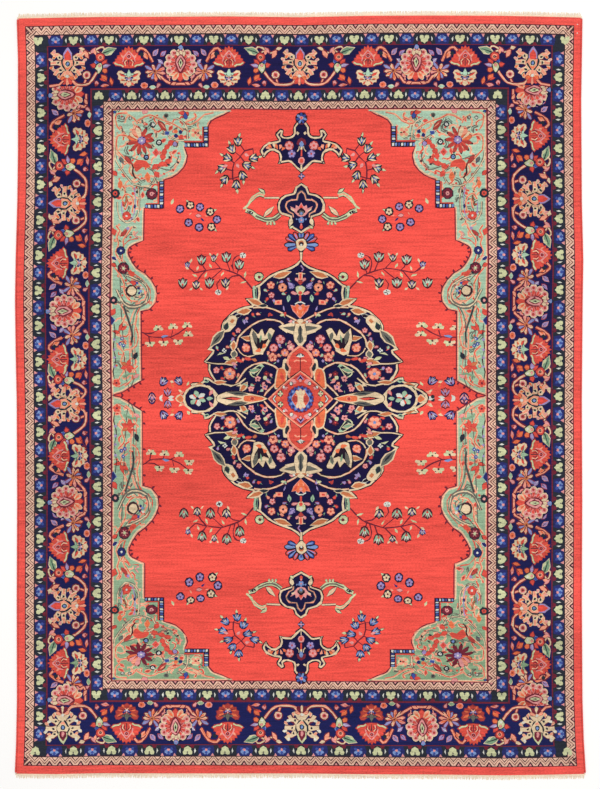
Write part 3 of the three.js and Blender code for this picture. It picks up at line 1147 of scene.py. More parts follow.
def draw_pale_branch(weaver):
    """The thin branch of pale flowers on the side of the field."""
    weaver.line("maroon", [(159.5, 66.5), (154, 64.6), (147, 65.4), (142.5, 68.4)], 1.2)
    weaver.line("maroon", [(157, 65), (150, 61.4), (142, 60.9), (130.4, 61.2), (121, 65.4), (114, 71)], 1.2)
    weaver.line("maroon", [(130.4, 61), (126, 58.6), (121.6, 57.6)], 1)
    weaver.each(weaver.line, (
        ("maroon", [(129, 61.4), (127.4, 68)], 1), ("maroon", [(138.5, 61), (137, 57)], 1),
        ("maroon", [(151.4, 62), (150.4, 56)], 1),
    ), smooth=False)
    weaver.leaf("light_blue", 139.5, 61.2, 170, 8, 2.6)
    for x, y, down in (
        (142, 70.5, 0), (127.1, 72.1, 0), (113, 73.4, 0), (112, 64.4, 0), (150.3, 53.9, 1), (136.7, 54.7, 1),
        (122.1, 56, 1),
    ):
        with weaver.at(x, y, 180 if down else 0):
            for angle in (10, 62, 118, 170):
                weaver.petal("pale_green" if angle < 90 else "cream", 0, -2, angle, 5.2, 3.3)
            weaver.dot("dark_brown", 0, -1.4, 1.2, 5)
            weaver.dot("dark_teal", 1.8, 2.6, 0.7, 4)
            weaver.dot("dark_teal", -2.6, 1, 0.7, 4)


def draw_side_spray(weaver):
    """Half of the small spray beside the medallion's point."""
    spray_flower(weaver, 137.5, 18, 120, 4.1, PLUM, False)
    spray_flower(weaver, 121.9, 18.6, 60, 3.9, PLUM, False)
    spray_flower(weaver, 133.2, 7.4, 90, 3.7, ("red_brown", "lilac", "pink", "maroon"), False)
    spray_flower(weaver, 149.1, 0, 90, 3.8, ("guard_navy", "pink", "lilac", "maroon"), False)
    for x, y, angle, length, dye in (
        (131, 18.8, 200, 4.4, "cream"), (114, 14, 120, 5, "pale_green"), (122.6, 10, 215, 6.6, "cream"),
        (121, 6, 150, 5, "peach"), (141.8, 0.6, 128, 5.8, "white"), (133, 2.2, 170, 6.4, "white"),
        (124, 1, 160, 6.4, "white"), (127, 12, 60, 5, "orange"),
    ):
        weaver.leaf(dye, x, y, angle, length, 2.6)
    weaver.dot("dark_teal", 122.5, 0, 2, 6)


# Pendants on the long axis


def draw_axis(weaver):
    """The fans, cartouches and pendants above and below the medallion."""
    for turn, flower, pendant, floret, cartouche, fan, size in (
        (0, 277.2, 248.1, 219.3, 187.1, 151.9, 1), (180, -282.9, -256.4, -229.2, -199.7, -153.3, 0.94),
    ):
        with weaver.at(1.75, fan, turn):
            draw_axis_fan(weaver)
        with weaver.at(1.75, cartouche, turn, size):
            draw_wings(weaver)
            draw_cartouche(weaver)
        with weaver.at(1.75, floret, turn):
            weaver.fill(
                "dark_teal", [(0, 3.8), (3.6, 0), (0, -3.8)], False, True, edge="maroon", edge_width=0.5,
            )
            for angle in (0, 90, 180, 270):
                weaver.petal("lilac", 0, 0, angle, 3, 1.8)
            weaver.dot("pink", 0, 0, 1, 5)
        with weaver.at(1.75, pendant, turn, size):
            draw_pendant(weaver)
        with weaver.at(1.75, flower, turn):
            weaver.dot("ink", 0, 0, 5.9, 10, edge="maroon", edge_width=0.5)
            for index in range(7):
                angle = 90 + 360 / 7 * index
                weaver.petal("light_blue" if index % 2 else "mid_blue", 0, 0, angle, 5.6, 2.7)
            weaver.dot("pink", 0, 0.4, 1.9, 6)
            weaver.dot("coral", 0, 0.4, 1.1, 5)


def draw_axis_fan(weaver):
    """A small blue fan with a cream heart."""
    weaver.line("ink", [(0, -6), (0, -16)], 4.4, 0.6, smooth=False)
    weaver.line("cream", [(0, -6), (0, -16.4)], 2.6, 0.6, smooth=False)
    for _ in weaver.both():
        for x, y, angle, length, dye in (
            (4, -1.2, -2, 12.6, "light_blue"), (4.4, 0.6, 24, 12, "coral"), (4, 1.4, 42, 11.4, "mid_blue"),
            (2.4, 2, 62, 10, "coral"), (4.4, -3.4, -18, 9.2, "mid_blue"),
        ):
            weaver.petal(dye, x, y, angle, length, 3.8, edge="ink", edge_width=1)
            weaver.petal("light_blue" if dye != "coral" else "lilac", x, y, angle, length - 1, 1.6)
    weaver.petal("light_blue", 0, 5, 90, 6.6, 5, edge="ink", edge_width=1)
    weaver.petal("mid_blue", 0, 5, 90, 4.6, 2.4)
    weaver.fill(
        "cream", [(0, 5), (3, 4.4), (5.2, 1), (3.8, -4.2), (0, -8)], True, True, edge="ink", edge_width=0.9,
    )
    weaver.dot("tan", 0, 0.2, 3, 8)
    weaver.dot("ink", 0, -0.6, 2.2, 7)
    weaver.dot("white", 0, -1.6, 1.2, 5)


def draw_cartouche(weaver):
    """A lobed navy cartouche with a second line inside it."""
    outline = [
        (0, 25.2, 1), (5.8, 20.8), (8, 15.2), (15.7, 13.3), (21.4, 9), (23.6, 1.7), (20.6, -5.6), (11, -8.8),
        (12.4, -13.4), (11.8, -18.6), (6, -21), (0, -25, 1),
    ]
    ring = turned_left(smoothed(with_mirror(outline), True))
    weaver.ring("ink", grown(ring, 1))
    weaver.ring("cream", ring)
    weaver.ring("navy", grown(ring, -1.8))
    for _ in weaver.both():
        weaver.leaf("cream", 9.4, -9.6, -78, 8.6, 4.2, edge="ink", edge_width=0.6)
        weaver.leaf("pale_green", 8, -17.4, -40, 5, 2.6, edge="ink", edge_width=0.5)
        line = [
            (0, 17.4), (3.4, 14), (4.6, 8.6), (10, 8.4), (14.4, 6), (15.6, 1.4), (12.8, -3.4), (8.4, -5.6),
            (8, -9),
        ]
        weaver.line("grey_sage", line, 2.2)
        weaver.line("peach", line, 0.9)
        weaver.fill(
            "pink",
            [(0, 5.6), (2.4, 1.6), (5.4, 3.4), (6, -0.4), (11.4, 1.8), (7.6, -3.4), (3.6, -7.6), (0, -8.4)],
            False,
        )
        weaver.petal("cream", 5.8, -3.4, 32, 5.6, 2)
        weaver.dot("light_blue", 4.6, -11, 1, 5)
    weaver.fill("coral", [(0, 4.4), (2, 0.6), (0, -1)], False, True)
    weaver.fill("ink", [(0, 0.6), (4.2, -2.6), (3.4, -5.2), (0, -3.4)], True, True)
    weaver.dot("grey_sage", 0, -4.6, 2.8, 8)
    weaver.dot("light_blue", 0, -4.8, 1.4, 6)
    weaver.rosette(0, -11.8, 3.2, "light_blue", "pink", "guard_navy")
    weaver.petal("coral", 0, -14.4, -90, 6.4, 3.4)
    weaver.dot("pink", 0, -16.4, 1, 5)


def draw_wings(weaver):
    """The open scrolls at each side of a cartouche."""
    for _ in weaver.both():
        weaver.line("cream", [(22, 10.4), (37, 10)], 1.4, smooth=False, edge="dark_teal", edge_width=0.6)
        arm = [(37, 12.6), (42, 13.8), (46.4, 11.6), (51, 7.2), (54.6, 1.6), (58.6, -1.2)]
        weaver.line("pale_green", arm, 4.2, 0.36, edge="dark_teal", edge_width=0.8)
        weaver.line("peach", arm[:4], 1.5, 0.5)
        weaver.leaf("pale_green", 36.4, 15.4, 30, 8, 3, edge="dark_teal", edge_width=0.7)
        lower = [(55.8, -2.4), (50.4, -4), (46, -7.8), (37, -11.6), (28, -11.2), (21.4, -6.4)]
        weaver.line("pale_green", lower, 3.8, edge="dark_teal", edge_width=0.8)
        weaver.line("grey_sage", lower[2:], 1.6)
        weaver.line("ink", [(54, -3), (48.6, -5.6)], 2.4, smooth=False)
        for x, y in ((53, -3), (50.4, -4.6), (48, -6.2)):
            weaver.dot("white", x, y, 0.8, 4)
        weaver.leaf("cream", 38, -8.6, 136, 15, 4.2, edge="dark_teal", edge_width=0.7, vein="peach")
        for x, angle in ((28, -110), (30.6, -90), (33, -70)):
            weaver.petal("pale_green", x, -12.6, angle, 4.4, 2.2, edge="grey_sage", edge_width=0.4)


def draw_pendant(weaver):
    """The end pendant: navy, with hooked horns and two long wings."""
    outline = [
        (0, 26.4), (4.7, 24.4), (7.4, 20), (7.4, 14), (10, 10.9), (16, 9.8), (19.6, 11.8), (18.6, 16.4),
        (21.4, 17.4, 1), (25.6, 12.4), (22.4, 6.6), (30.5, 5), (36.8, 2), (40.9, -3.2), (39.8, -7.2),
        (37.4, -10.4, 1), (35, -5.8), (29.4, -3), (22.6, -6.2), (21.4, -12.6), (23.2, -16.4, 1), (13, -14.4),
        (8.2, -17), (5.2, -20.8), (0, -24.8, 1),
    ]
    ring = turned_left(smoothed(with_mirror(outline), True))
    weaver.ring("ink", grown(ring, 1.2))
    weaver.ring("cream", ring)
    weaver.ring("navy", grown(ring, -1.7))
    for _ in weaver.both():
        for x, y, angle, length, dye in (
            (22, -2.4, 100, 5.4, "peach"), (24, -2, 60, 5.6, "orange"), (27, -1.2, 80, 5.2, "cream"),
            (29.4, -1, 40, 5, "orange"), (20, -3.4, 130, 4.6, "orange"), (31.6, -1.6, 20, 4.4, "peach"),
        ):
            weaver.petal(dye, x, y, angle, length, 3.2)
        weaver.line("cream", [(4.8, 15), (2.6, 13.4)], 2.2, smooth=False)
        weaver.rosette(12.4, 1.6, 4.3, "pink", "coral", "red_brown")
        weaver.rosette(9.8, -6.6, 4, "lilac", "red_brown", "guard_navy")
        weaver.line("cream", [(4.4, -4.2), (2.6, -1.8), (2.2, 1)], 0.8)
    weaver.fill("maroon", [(0, 9.6), (3.6, 7.6), (5, 3.4), (3.6, 2), (0, 5)], True, True)
    weaver.fill("light_blue", [(0, 6.6), (2.2, 4.2), (1.6, 1.4), (0, -2)], True, True)
    weaver.petal("cream", 0, 1, -90, 3.6, 2.4)
    weaver.line("coral", [(0, -2.4), (0, -9)], 1.7, smooth=False)
    weaver.dot("pink", 0, -13.4, 3.4, 8, 1.15)
    weaver.dot("coral", 0, -13.4, 2, 7, 1.2)
    weaver.line("cream", [(0, -17.4), (0, -23)], 1.3, smooth=False)


# Corners


def dashed_bar(weaver, start, end, across):
    """A dark bar of short blue and white dashes."""
    begin, finish = complex(*start), complex(*end)
    along = (finish - begin) / abs(finish - begin)
    side = 1j * along * across / 2
    weaver.ring(
        "ink",
        turned_left([begin + side * 1.2, finish + side * 1.2, finish - side * 1.2, begin - side * 1.2]),
    )
    steps = max(2, round(abs(finish - begin) / 3.1))
    step = (finish - begin) / steps
    for index in range(steps):
        here = begin + step * (index + 0.14)
        there = begin + step * (index + 0.8)
        dye = ("light_blue", "white", "mid_blue")[index % 3]
        weaver.ring(
            dye,
            turned_left([here + side * 0.66, there + side * 0.8, there - side * 0.66, here - side * 0.8]),
        )


def draw_hooks(weaver):
    """Small hooked leaves and lines that fill the corner's open ground, under its larger flowers."""
    ring = grown(turned_left(smoothed(CORNER_EDGE, True, 3)), -6.4)
    for row in range(38):
        for column in range(16):
            x = 4 + 7.6 * column + weaver.chance.uniform(-2.2, 2.2) + 3.8 * (row % 2)
            y = 3.6 + 7.6 * row + weaver.chance.uniform(-2.2, 2.2)
            turn = weaver.chance.uniform(0, 360)
            kind = weaver.chance.randrange(6)
            bow = weaver.chance.uniform(1.2, 2.6)
            if x > 92 or y > 272 or not holds(ring, complex(x, y)):
                continue
            with weaver.at(x, y, turn):
                if kind < 3:
                    hook = [(-4.6, 0), (-2, bow), (1.4, bow * 0.5), (3.4, -bow), (5.4, -bow * 0.4)]
                    weaver.line("cream", hook, 3, 0.5)
                    weaver.line("peach" if kind else "coral", hook, 1.6, 0.5)
                elif kind == 3:
                    weaver.line("grey_sage", [(-4.4, -bow), (0, 0.6), (4.4, -bow)], 1.2)
                    weaver.line("grey_sage", [(-4, -bow + 2.2), (0, 2.8), (4, -bow + 2.2)], 0.9)
                    weaver.dot("coral", 0, -2.6, 1.4, 5)
                elif kind == 4:
                    weaver.leaf("coral", -3.4, 0, 12, 6.6, 2.8, edge="peach", edge_width=0.8)
                    weaver.leaf("red_brown", -2, 0, 12, 3.6, 1)
                else:
                    weaver.leaf("grey_sage", -3, 1, -14, 6, 2.2, edge="cream", edge_width=0.7)
                    weaver.dot("peach", 2.6, -2, 1.5, 5, edge="red_brown", edge_width=0.5)


def draw_contours(weaver):
    """Lines that follow the corner's own edge inside it."""
    ring = smoothed(CORNER_EDGE, True, 3)
    ring = turned_left(ring)
    for inset, dye, width, low, high in (
        (6, "coral", 0.9, 128, 278), (8.4, "grey_sage", 1, 136, 272), (11, "peach", 1.3, 146, 262),
        (14.6, "grey_sage", 0.9, 160, 210), (6.4, "peach", 1.1, 40, 69), (9, "grey_sage", 0.9, 41, 66),
    ):
        line = [spot for spot in grown(ring, -inset) if low < spot.imag < high and spot.real > 6]
        if len(line) > 3:
            weaver.line(dye, [(spot.real, spot.imag) for spot in line[::2]], width)


def draw_corner_edge(weaver):
    """The stepped bars on the corner's edge and the small flames along its lower part."""
    weaver.each(weaver.line, (
        ("coral", [(91, 17), (91, 32.2), (72, 32.2)], 1.4),
        ("coral", [(46.6, 72), (46.6, 94), (34, 94)], 1.2),
    ), smooth=False, edge="maroon", edge_width=0.4)
    dashed_bar(weaver, (94, 17.2), (94, 37.4), 4.2)
    dashed_bar(weaver, (72.4, 35.6), (96, 35.6), 4)
    dashed_bar(weaver, (49.6, 71.6), (49.6, 98.4), 4)
    dashed_bar(weaver, (33, 96.8), (51.4, 96.8), 3.8)
    edge = smoothed(CORNER_EDGE[18:], False, 6.5)
    for before, spot in zip(edge, edge[1:-1]):
        along = spot - before
        if abs(along) > 1e-6:
            outward = math.degrees(cmath.phase(-1j * along))
            weaver.leaf("maroon", spot.real, spot.imag, outward - 24, 4, 2.4)


def draw_corner_scrolls(weaver):
    """The scrolls in the wide part of a corner."""
    for route in (
        [(15, 3.2), (8, 3.6), (3.6, 5.4), (3.4, 11), (4.8, 16.6), (7.6, 20.4)],
        [(19, 29), (12, 25.6), (5.6, 26), (3.8, 33), (5, 41), (9.6, 46), (14.4, 51.6), (19.6, 56.4)],
        [(16, 5.6), (22, 9), (24.9, 14)],
        [(24.9, 11.4), (32.8, 6.8), (39.8, 5.9), (46.8, 9.4), (57.3, 12.8), (66, 17.2), (70.4, 20.7)],
        [(82, 3.6), (84, 7.6), (78, 11), (73, 13), (78, 15), (86, 11.2), (93, 5.4), (102, 3.4)],
        [(30, 52), (22, 54), (17, 60), (20, 66), (27, 68.4)],
        [(7, 74), (12.6, 78.6), (13, 85), (16, 92), (14, 99)],
    ):
        weaver.line("peach", route, 2, 0.6, edge="pale_green", edge_width=0.6)
        weaver.line("coral", [(x + 0.3, y + 0.4) for x, y in route], 0.6)
    for route in (
        [(45.1, 11.1), (50.3, 19.8), (57.3, 26.8), (64, 30.6), (72.1, 31)],
        [(64.3, 8.5), (71, 12.6), (74.9, 19.1), (75.6, 30)],
        [(2.1, 38), (2.6, 46), (4.6, 52.5), (9.1, 59.8), (15.1, 67.8), (20.6, 73.6)],
        [(21, 74.6), (30, 77), (39, 74.8), (43.6, 67), (41, 61), (36.1, 58)],
    ):
        weaver.line("grey_sage", route, 2.2)
        weaver.line("cream", route, 0.9)


def draw_corner_flowers(weaver, far):
    """The palmette, flowers and leaves in the wide part of a corner."""
    weaver.leaf("red_brown", 45.6, 10.8, 52, 15, 5, edge="dark_brown", edge_width=0.5)
    weaver.leaf("peach", 47.6, 13, 46, 9, 1.8)
    with weaver.redyed({} if far else NEAR_CORNER_PALMETTE):
        draw_corner_palmette(weaver)
    for x, y, radius, dark, light in (
        (40.7, 15.5, 3.1, "dark_teal", "white"), (46.8, 32.9, 3.4, "dark_teal", "white"),
        (34.1, 47.8, 3.1, "dark_teal", "light_blue"), (54.1, 6.3, 2.6, "grey_sage", "dark_teal"),
        (10.6, 8.6, 2.2, "grey_sage", "white"), (18, 8.6, 2.2, "grey_sage", "white"),
        (3.1, 84, 5, "dark_teal", "coral"),
    ):
        weaver.dot(dark, x, y, radius, 8)
        weaver.dot(light, x, y, radius * 0.55, 6)
        weaver.dot(dark, x, y, radius * 0.22, 4)
    weaver.fill("coral", [(43.7, 39), (47, 43), (43.7, 47), (40.4, 43)], False, edge="pink")
    weaver.dot("red_brown", 43.7, 43, 1.2, 5)
    weaver.fill(
        "mid_blue", [(53, 21.6), (57.4, 22.4), (56.6, 26), (52.6, 25)], False, edge="white", edge_width=0.5,
    )
    for x, y, dye in (
        (63.8, 22, "orange"), (68.4, 22.6, "guard_navy"), (64, 26.4, "guard_navy"), (69.2, 27, "coral"),
    ):
        weaver.dot(dye, x, y, 2.2, 6)
    weaver.each(weaver.petal, (
        ("coral", 70, 8.6, -40, 8.4, 4.4, "maroon", 0.5), ("mid_blue", 72, 1.6, 74, 8.4, 3.8, "ink", 0.5),
        ("coral", 66, 3.2, 6, 6.4, 4, "maroon", 0.5),
    ))
    weaver.rosette(83.5, 23.3, 5.2, "peach", "red_brown", "pale_green", 4, 45)
    weaver.dot("dark_brown", 86.4, 24, 1.2, 5)
    for x, y, angle, length in (
        (62, 31.6, 150, 8), (57, 35, 130, 7), (53.6, 39.4, 118, 7), (51, 44.2, 98, 6.6),
        (52.4, 52.4, -10, 8), (46, 55.8, -18, 9), (40, 59.4, -36, 8), (43, 62, 60, 7),
    ):
        weaver.leaf("coral", x, y, angle, length, 4.6, edge="red_brown", edge_width=0.6)
    weaver.dot("lilac", 62.9, 34.7, 2.4, 6, edge="dark_brown", edge_width=0.6)
    for x, y, dye in (
        (58.1, 47.4, "dark_brown"), (67, 44, "coral"), (56.4, 55.9, "dark_teal"), (66.1, 53, "dark_brown"),
        (52.4, 64, "coral"), (61.7, 60.2, "red_brown"), (69.4, 47.6, "pink"), (60.4, 51, "peach"),
        (48.6, 66.4, "pink"), (57.6, 64.6, "cream"),
    ):
        weaver.leaf(dye, x - 1.6, y - 1, weaver.chance.uniform(0, 80), 3.8, 2.2)
    weaver.fill(
        "coral", [(22, 54), (27, 50.4), (35, 53), (36.4, 58), (30, 57.4), (24.6, 62), (22.4, 58.6)],
        edge="orange", edge_width=0.5,
    )
    weaver.line("dark_brown", [(19, 52.6), (21, 58), (20.4, 64), (24, 69)], 1.6)
    weaver.line("cream", [(17.4, 53), (19.4, 58), (18.8, 64)], 0.9)
    weaver.each(weaver.leaf, (
        ("orange", 35, 62.8, 84, 10, 5, "peach", 0.6),
        ("red_brown", 12, 45.8, 48, 13, 3.6, "dark_brown", 0.4),
        ("grey_sage", 7.4, 47.6, 60, 7.6, 3, "guard_navy", 0.5),
        ("coral", 0.6, 61.4, 48, 6.4, 4, "maroon", 0.5),
    ))
    weaver.fill("dark_teal", [(0, 1.2), (3, 0.4), (4.2, 3), (1, 4.4)], False)
    weaver.dot("mid_blue", 2.2, 2.4, 1.3, 5)
    weaver.fill("pink", [(29, 0.4), (36, 0.4), (35, 3.6), (31, 4.4)], False, edge="red_brown", edge_width=0.5)
    weaver.rosette(39.8, 84.4, 5.6, "maroon", "pale_green", "dark_teal", 6)
    weaver.dot("pink", 39.8, 84.4, 2.4, 7)
    weaver.dot("dark_teal", 39.8, 84.4, 0.9, 5)
    for x, y, dye in ((22.6, 79.6, "pink"), (25.6, 82.4, "dark_brown"), (21, 84, "coral")):
        weaver.dot(dye, x, y, 1.8, 6)
    weaver.leaf("orange", 8, 70.6, 88, 9, 4.2, edge="peach", edge_width=0.5)
    weaver.line("dark_brown", [(13.6, 82), (14.6, 90), (12, 96.6)], 2)
    weaver.line("tan", [(13.6, 82.6), (14.6, 90), (12.4, 96)], 0.8)


def draw_corner_palmette(weaver):
    """The many-petalled flower of a corner, with a few pale petals on its lower side."""
    for angle in range(0, 360, 33):
        if 190 < angle < 260:
            continue
        weaver.petal("dark_brown", 28, 31, angle, 14.6, 4)
        weaver.petal("red_brown", 28, 31, angle, 13.2, 4.6)
        weaver.petal("coral", 28, 31, angle + 8, 9.6, 1.8)
    for angle in (196, 214, 232, 250):
        weaver.petal(
            "cream" if angle % 4 else "orange", 29, 31, angle, 14, 5, edge="red_brown", edge_width=0.6,
        )
    weaver.petal("peach", 26, 27, 226, 9, 4.6)
    weaver.rosette(29.4, 31, 4, "lilac", "white", "guard_navy", 6)


def draw_side_strip(weaver):
    """The outlines and vines of a corner's long strip beside the field, with its rounded lobe."""
    for inset, dye, width in ((0, "grey_sage", 2), (0, "cream", 0.8), (4, "lilac", 0.9)):
        weaver.line(dye, [
            (5.6 + inset, 92), (6 + inset, 102), (9.6 + inset * 0.8, 109.4), (15.7, 113 - inset),
            (22.6 - inset * 0.8, 110), (26.8 - inset, 103), (27.4 - inset, 88), (26 - inset, 78),
        ], width)
    for route in (
        [(10, 90), (14, 84.4), (19.6, 87.4), (21.6, 94.6), (20.4, 102)],
        [(4.4, 116), (8, 121), (5.4, 128), (7.6, 134), (4.6, 142), (8, 149), (12, 152)],
        [(20.4, 117), (16.4, 124), (12, 130), (12.6, 136)],
        [(4, 158), (10, 166), (13.4, 174), (14, 183), (20, 190.6), (28, 191.6)],
        [(11, 196), (15, 204), (12.6, 212), (8.6, 219), (10, 227), (16, 232)],
        [(26.6, 206), (25, 216), (27.6, 226), (25.4, 236), (20, 240)],
        [(6.4, 236), (12.6, 243), (10, 252), (13.6, 260), (8.6, 268), (5, 276)],
        [(26.8, 256), (22, 262), (20.4, 270), (13.4, 276.4)],
    ):
        weaver.line("peach", route, 1.8, 0.7, edge="pale_green", edge_width=0.5)
        weaver.line("coral", [(x + 0.3, y + 0.3) for x, y in route], 0.6)
    for grow, dye, width in ((0, "grey_sage", 1.6), (3, "grey_sage", 1.4), (1.5, "cream", 1)):
        weaver.line(dye, [
            (14 + grow, 164 + grow), (22 + grow, 167 + grow), (33 + grow * 0.4, 173.4 + grow * 0.5),
            (37 + grow * 0.4, 182), (34.6 + grow * 0.4, 192 + grow * 0.6), (24, 196 + grow),
            (14, 192.6 + grow), (7 - grow * 0.5, 180),
        ], width)
    weaver.line("grey_sage", [(13.4, 196.5), (17.6, 209.5), (21.6, 222.8), (21, 233.2)], 2.4)
    weaver.line("dark_teal", [(13.4, 196.5), (17.6, 209.5), (21.6, 222.8), (21, 233.2)], 0.8)


def draw_strip_flowers(weaver):
    """The flowers and leaves of a corner's long strip, from the wide part on."""
    weaver.rosette(15, 106.4, 4.2, "coral", "white", "red_brown")
    weaver.dot("guard_navy", 23, 97, 1.4, 5, 1.8)
    weaver.leaf("red_brown", 9, 127, -44, 10.4, 3.6, edge="dark_brown", edge_width=0.4)
    weaver.dot("lilac", 16.4, 119, 1.8, 5)
    weaver.fill(
        "coral", [(0.4, 118), (5.4, 121), (3.4, 126), (0.4, 124)], False, edge="dark_brown", edge_width=0.5,
    )
    weaver.line("pink", [(26.6, 122), (23.4, 126), (27.4, 128)], 1, edge="grey_sage", edge_width=0.4)
    for x, y, radius, petals, heart, ground in (
        (9.8, 141.1, 4.2, "guard_navy", "white", "dark_teal"),
        (12.6, 158.7, 5.6, "maroon", "pale_green", "dark_teal"),
        (3.3, 190.7, 3.7, "dark_teal", "coral", "dark_teal"),
    ):
        weaver.rosette(x, y, radius, petals, heart, ground, 6)
    for index in range(6):
        angle = math.tau * index / 6
        weaver.dot("pink", 12.6 + 2.4 * math.cos(angle), 158.7 + 2.4 * math.sin(angle), 0.8, 4)
    weaver.dot("pink", 3.3, 190.7, 1.6, 6)
    weaver.leaf("guard_navy", 0.8, 147, 36, 6.4, 3.2, edge="white", edge_width=0.5)
    weaver.leaf("coral", 0.6, 154, 30, 6, 4, edge="dark_brown", edge_width=0.5)
    weaver.each(weaver.petal, (
        ("coral", 16.6, 161, 36, 8.6, 4.6, "tan", 0.5), ("coral", 19, 172, 20, 7, 4, "guard_navy", 0.6),
    ))
    weaver.dot("mid_blue", 26.6, 173.6, 1.6, 5)
    weaver.dot("dark_brown", 20.9, 181.5, 6.2, 10)
    weaver.dot("cream", 21.4, 181.2, 4.6, 9)
    for x, y, dye in (
        (28, 179, "guard_navy"), (30.4, 181.6, "light_blue"), (28.6, 183.6, "guard_navy"),
        (31, 178, "white"),
    ):
        weaver.dot(dye, x, y, 1.5, 5)
    weaver.fill(
        "guard_navy", [(0.2, 205.6), (4.4, 210.6), (1.2, 215.4), (0.2, 214)], False, edge="light_blue",
        edge_width=0.5,
    )
    weaver.leaf("coral", 0.8, 206, -60, 8.4, 5, edge="dark_brown", edge_width=0.5)
    for x, y, angle, length in ((8.6, 222, -70, 10), (9.4, 223.4, 195, 7.6), (10.6, 220.6, -36, 7.4)):
        weaver.leaf("coral", x, y, angle, length, 3.4, edge="dark_brown", edge_width=0.5)
    for x, y in ((11.4, 229), (9.6, 234.4), (13, 236)):
        weaver.dot("mid_blue", x, y, 2, 6)
        weaver.dot("white", x, y, 0.9, 4)
    weaver.leaf("dark_teal", 23, 250.4, -66, 9, 4.8)
    weaver.line("dark_brown", [(3.6, 214), (4.6, 226), (2.4, 238), (5, 250), (2, 262), (3.4, 270)], 0.9)
    for y in (230, 240, 248, 257):
        weaver.dot("lilac", 3.8, y, 1.5, 5)
    for angle in (20, 70, 160, 215, 290):
        weaver.leaf("coral", 16.6, 256.7, angle, 7.4, 3.6, edge="red_brown", edge_width=0.5)
    weaver.leaf("tan", 9.6, 252.4, 28, 8, 2.2)
    weaver.rosette(5.3, 273.4, 4, "coral", "maroon", "peach")
    weaver.line("sage", [(12, 268), (20, 264), (27, 266)], 2)
    weaver.leaf("pink", 22.4, 268.4, -30, 6.6, 3, edge="coral", edge_width=0.4)


# Medallion


def draw_medallion_quarter(weaver):
    """A quarter of the medallion: its arcs, leaves and flowers."""
    draw_arcs(weaver)
    draw_arc_leaves(weaver)
    draw_vase_palmette(weaver)
    draw_inner_leaves(weaver)
    draw_night_flowers(weaver)
    draw_last_petals(weaver)


def draw_arcs(weaver):
    """The pale arcs that divide the quarter, and what lies under the apex."""
    weaver.leaf("tan", 26.4, 121.2, 162, 17.4, 4.8, edge="cream", edge_width=1.2)
    weaver.dot("ink", 41.5, 121.4, 5.2, 9)
    weaver.dot("pale_green", 41.5, 121.4, 4.3, 9)
    weaver.dot("maroon", 41, 121.2, 1.8, 6)
    weaver.line("sage", [(36.4, 121.8), (40, 121.2)], 1.4, smooth=False)
    weaver.line("mint", [(46.4, 112.4), (46.2, 103), (45, 97.8)], 2.2)
    weaver.line("sage", [(44.4, 112), (43.8, 104), (43.8, 99)], 1)
    weaver.line("ink", [(44.8, 109), (44.2, 102)], 0.7, smooth=False)
    weaver.line("cream", [(41.8, 113), (40.6, 105), (42, 97)], 1.9)
    for route, width, dye in (
        ([(46.9, 90.4), (38, 91.2), (29.4, 90), (20.3, 86.5), (10, 81.4), (1, 76.4)], 1.8, "peach"),
        (
            [
                (63.6, 51), (63.1, 56.6), (60.3, 62.8), (53.3, 69.1), (44.8, 75.2), (36.4, 78.4),
                (28, 78.7), (20, 76.6), (14.7, 72.2),
            ],
            1.9, "peach",
        ),
        ([(62.6, 50), (60.4, 46), (56.4, 42.9), (51, 42), (45.6, 43.1)], 1.4, "peach"),
        (
            [
                (64.6, 14.4), (56.8, 26.4), (50.6, 31.7), (43.4, 34.5), (36.4, 35.5), (29.4, 33.5),
                (23.4, 30), (21, 24), (24, 16), (30.4, 9.6), (35.6, 4), (37.6, -1),
            ],
            1.9, "peach",
        ),
        ([(95, 36.2), (86, 34.6), (77, 34.4), (71, 35)], 1.4, "cream"),
        ([(88, 16), (79.9, 14.8), (70, 12.6), (62, 14.6), (55, 20)], 1.6, "cream"),
    ):
        weaver.line(dye, route, width * 0.9, edge="ink", edge_width=0.8)
        weaver.line("cream", route, width * 0.5)


def draw_arc_leaves(weaver):
    """The large leaves along the arcs, from the top down to the side."""
    weaver.each(weaver.leaf, (
        ("tan", 37, 93, 22, 17, 4.6, "cream", 1.3), ("dark_teal", 32.6, 92.4, 0, 9.4, 3, "cream", 0.9),
        ("tan", 49.6, 88, -10, 13, 5, "cream", 1.3), ("ink", 58.6, 84, -26, 10.4, 3, "white", 0.7),
    ))
    weaver.fill(
        "cream", [(63, 78.4), (68, 83), (74.8, 77), (77, 71), (76.4, 65.8), (69, 68)], edge="ink",
        edge_width=0.5,
    )
    weaver.fill("tan", [(65.4, 77.6), (68, 79.8), (70.4, 76.6), (68, 74.4)], False)
    weaver.each(weaver.leaf, (
        ("dark_teal", 75.2, 67.6, 108, 8.4, 4.8, "sage", 0.5),
        ("grey_sage", 76, 68, -50, 22, 6.4, "cream", 1.4), ("dark_teal", 79, 64, -50, 13, 2.2),
    ))
    for x, y, length, width, angle, dye in (
        (66.6, 56.8, 9.4, 4.6, -86, "tan"), (65.6, 47.4, 7.6, 5.2, -80, "grey_sage"),
        (62.4, 37.8, 14, 5, -14, "tan"),
        (53.6, 15.4, 12, 3.8, -52, "tan"),
    ):
        weaver.leaf(dye, x, y, angle, length, width, edge="cream", edge_width=1.2)


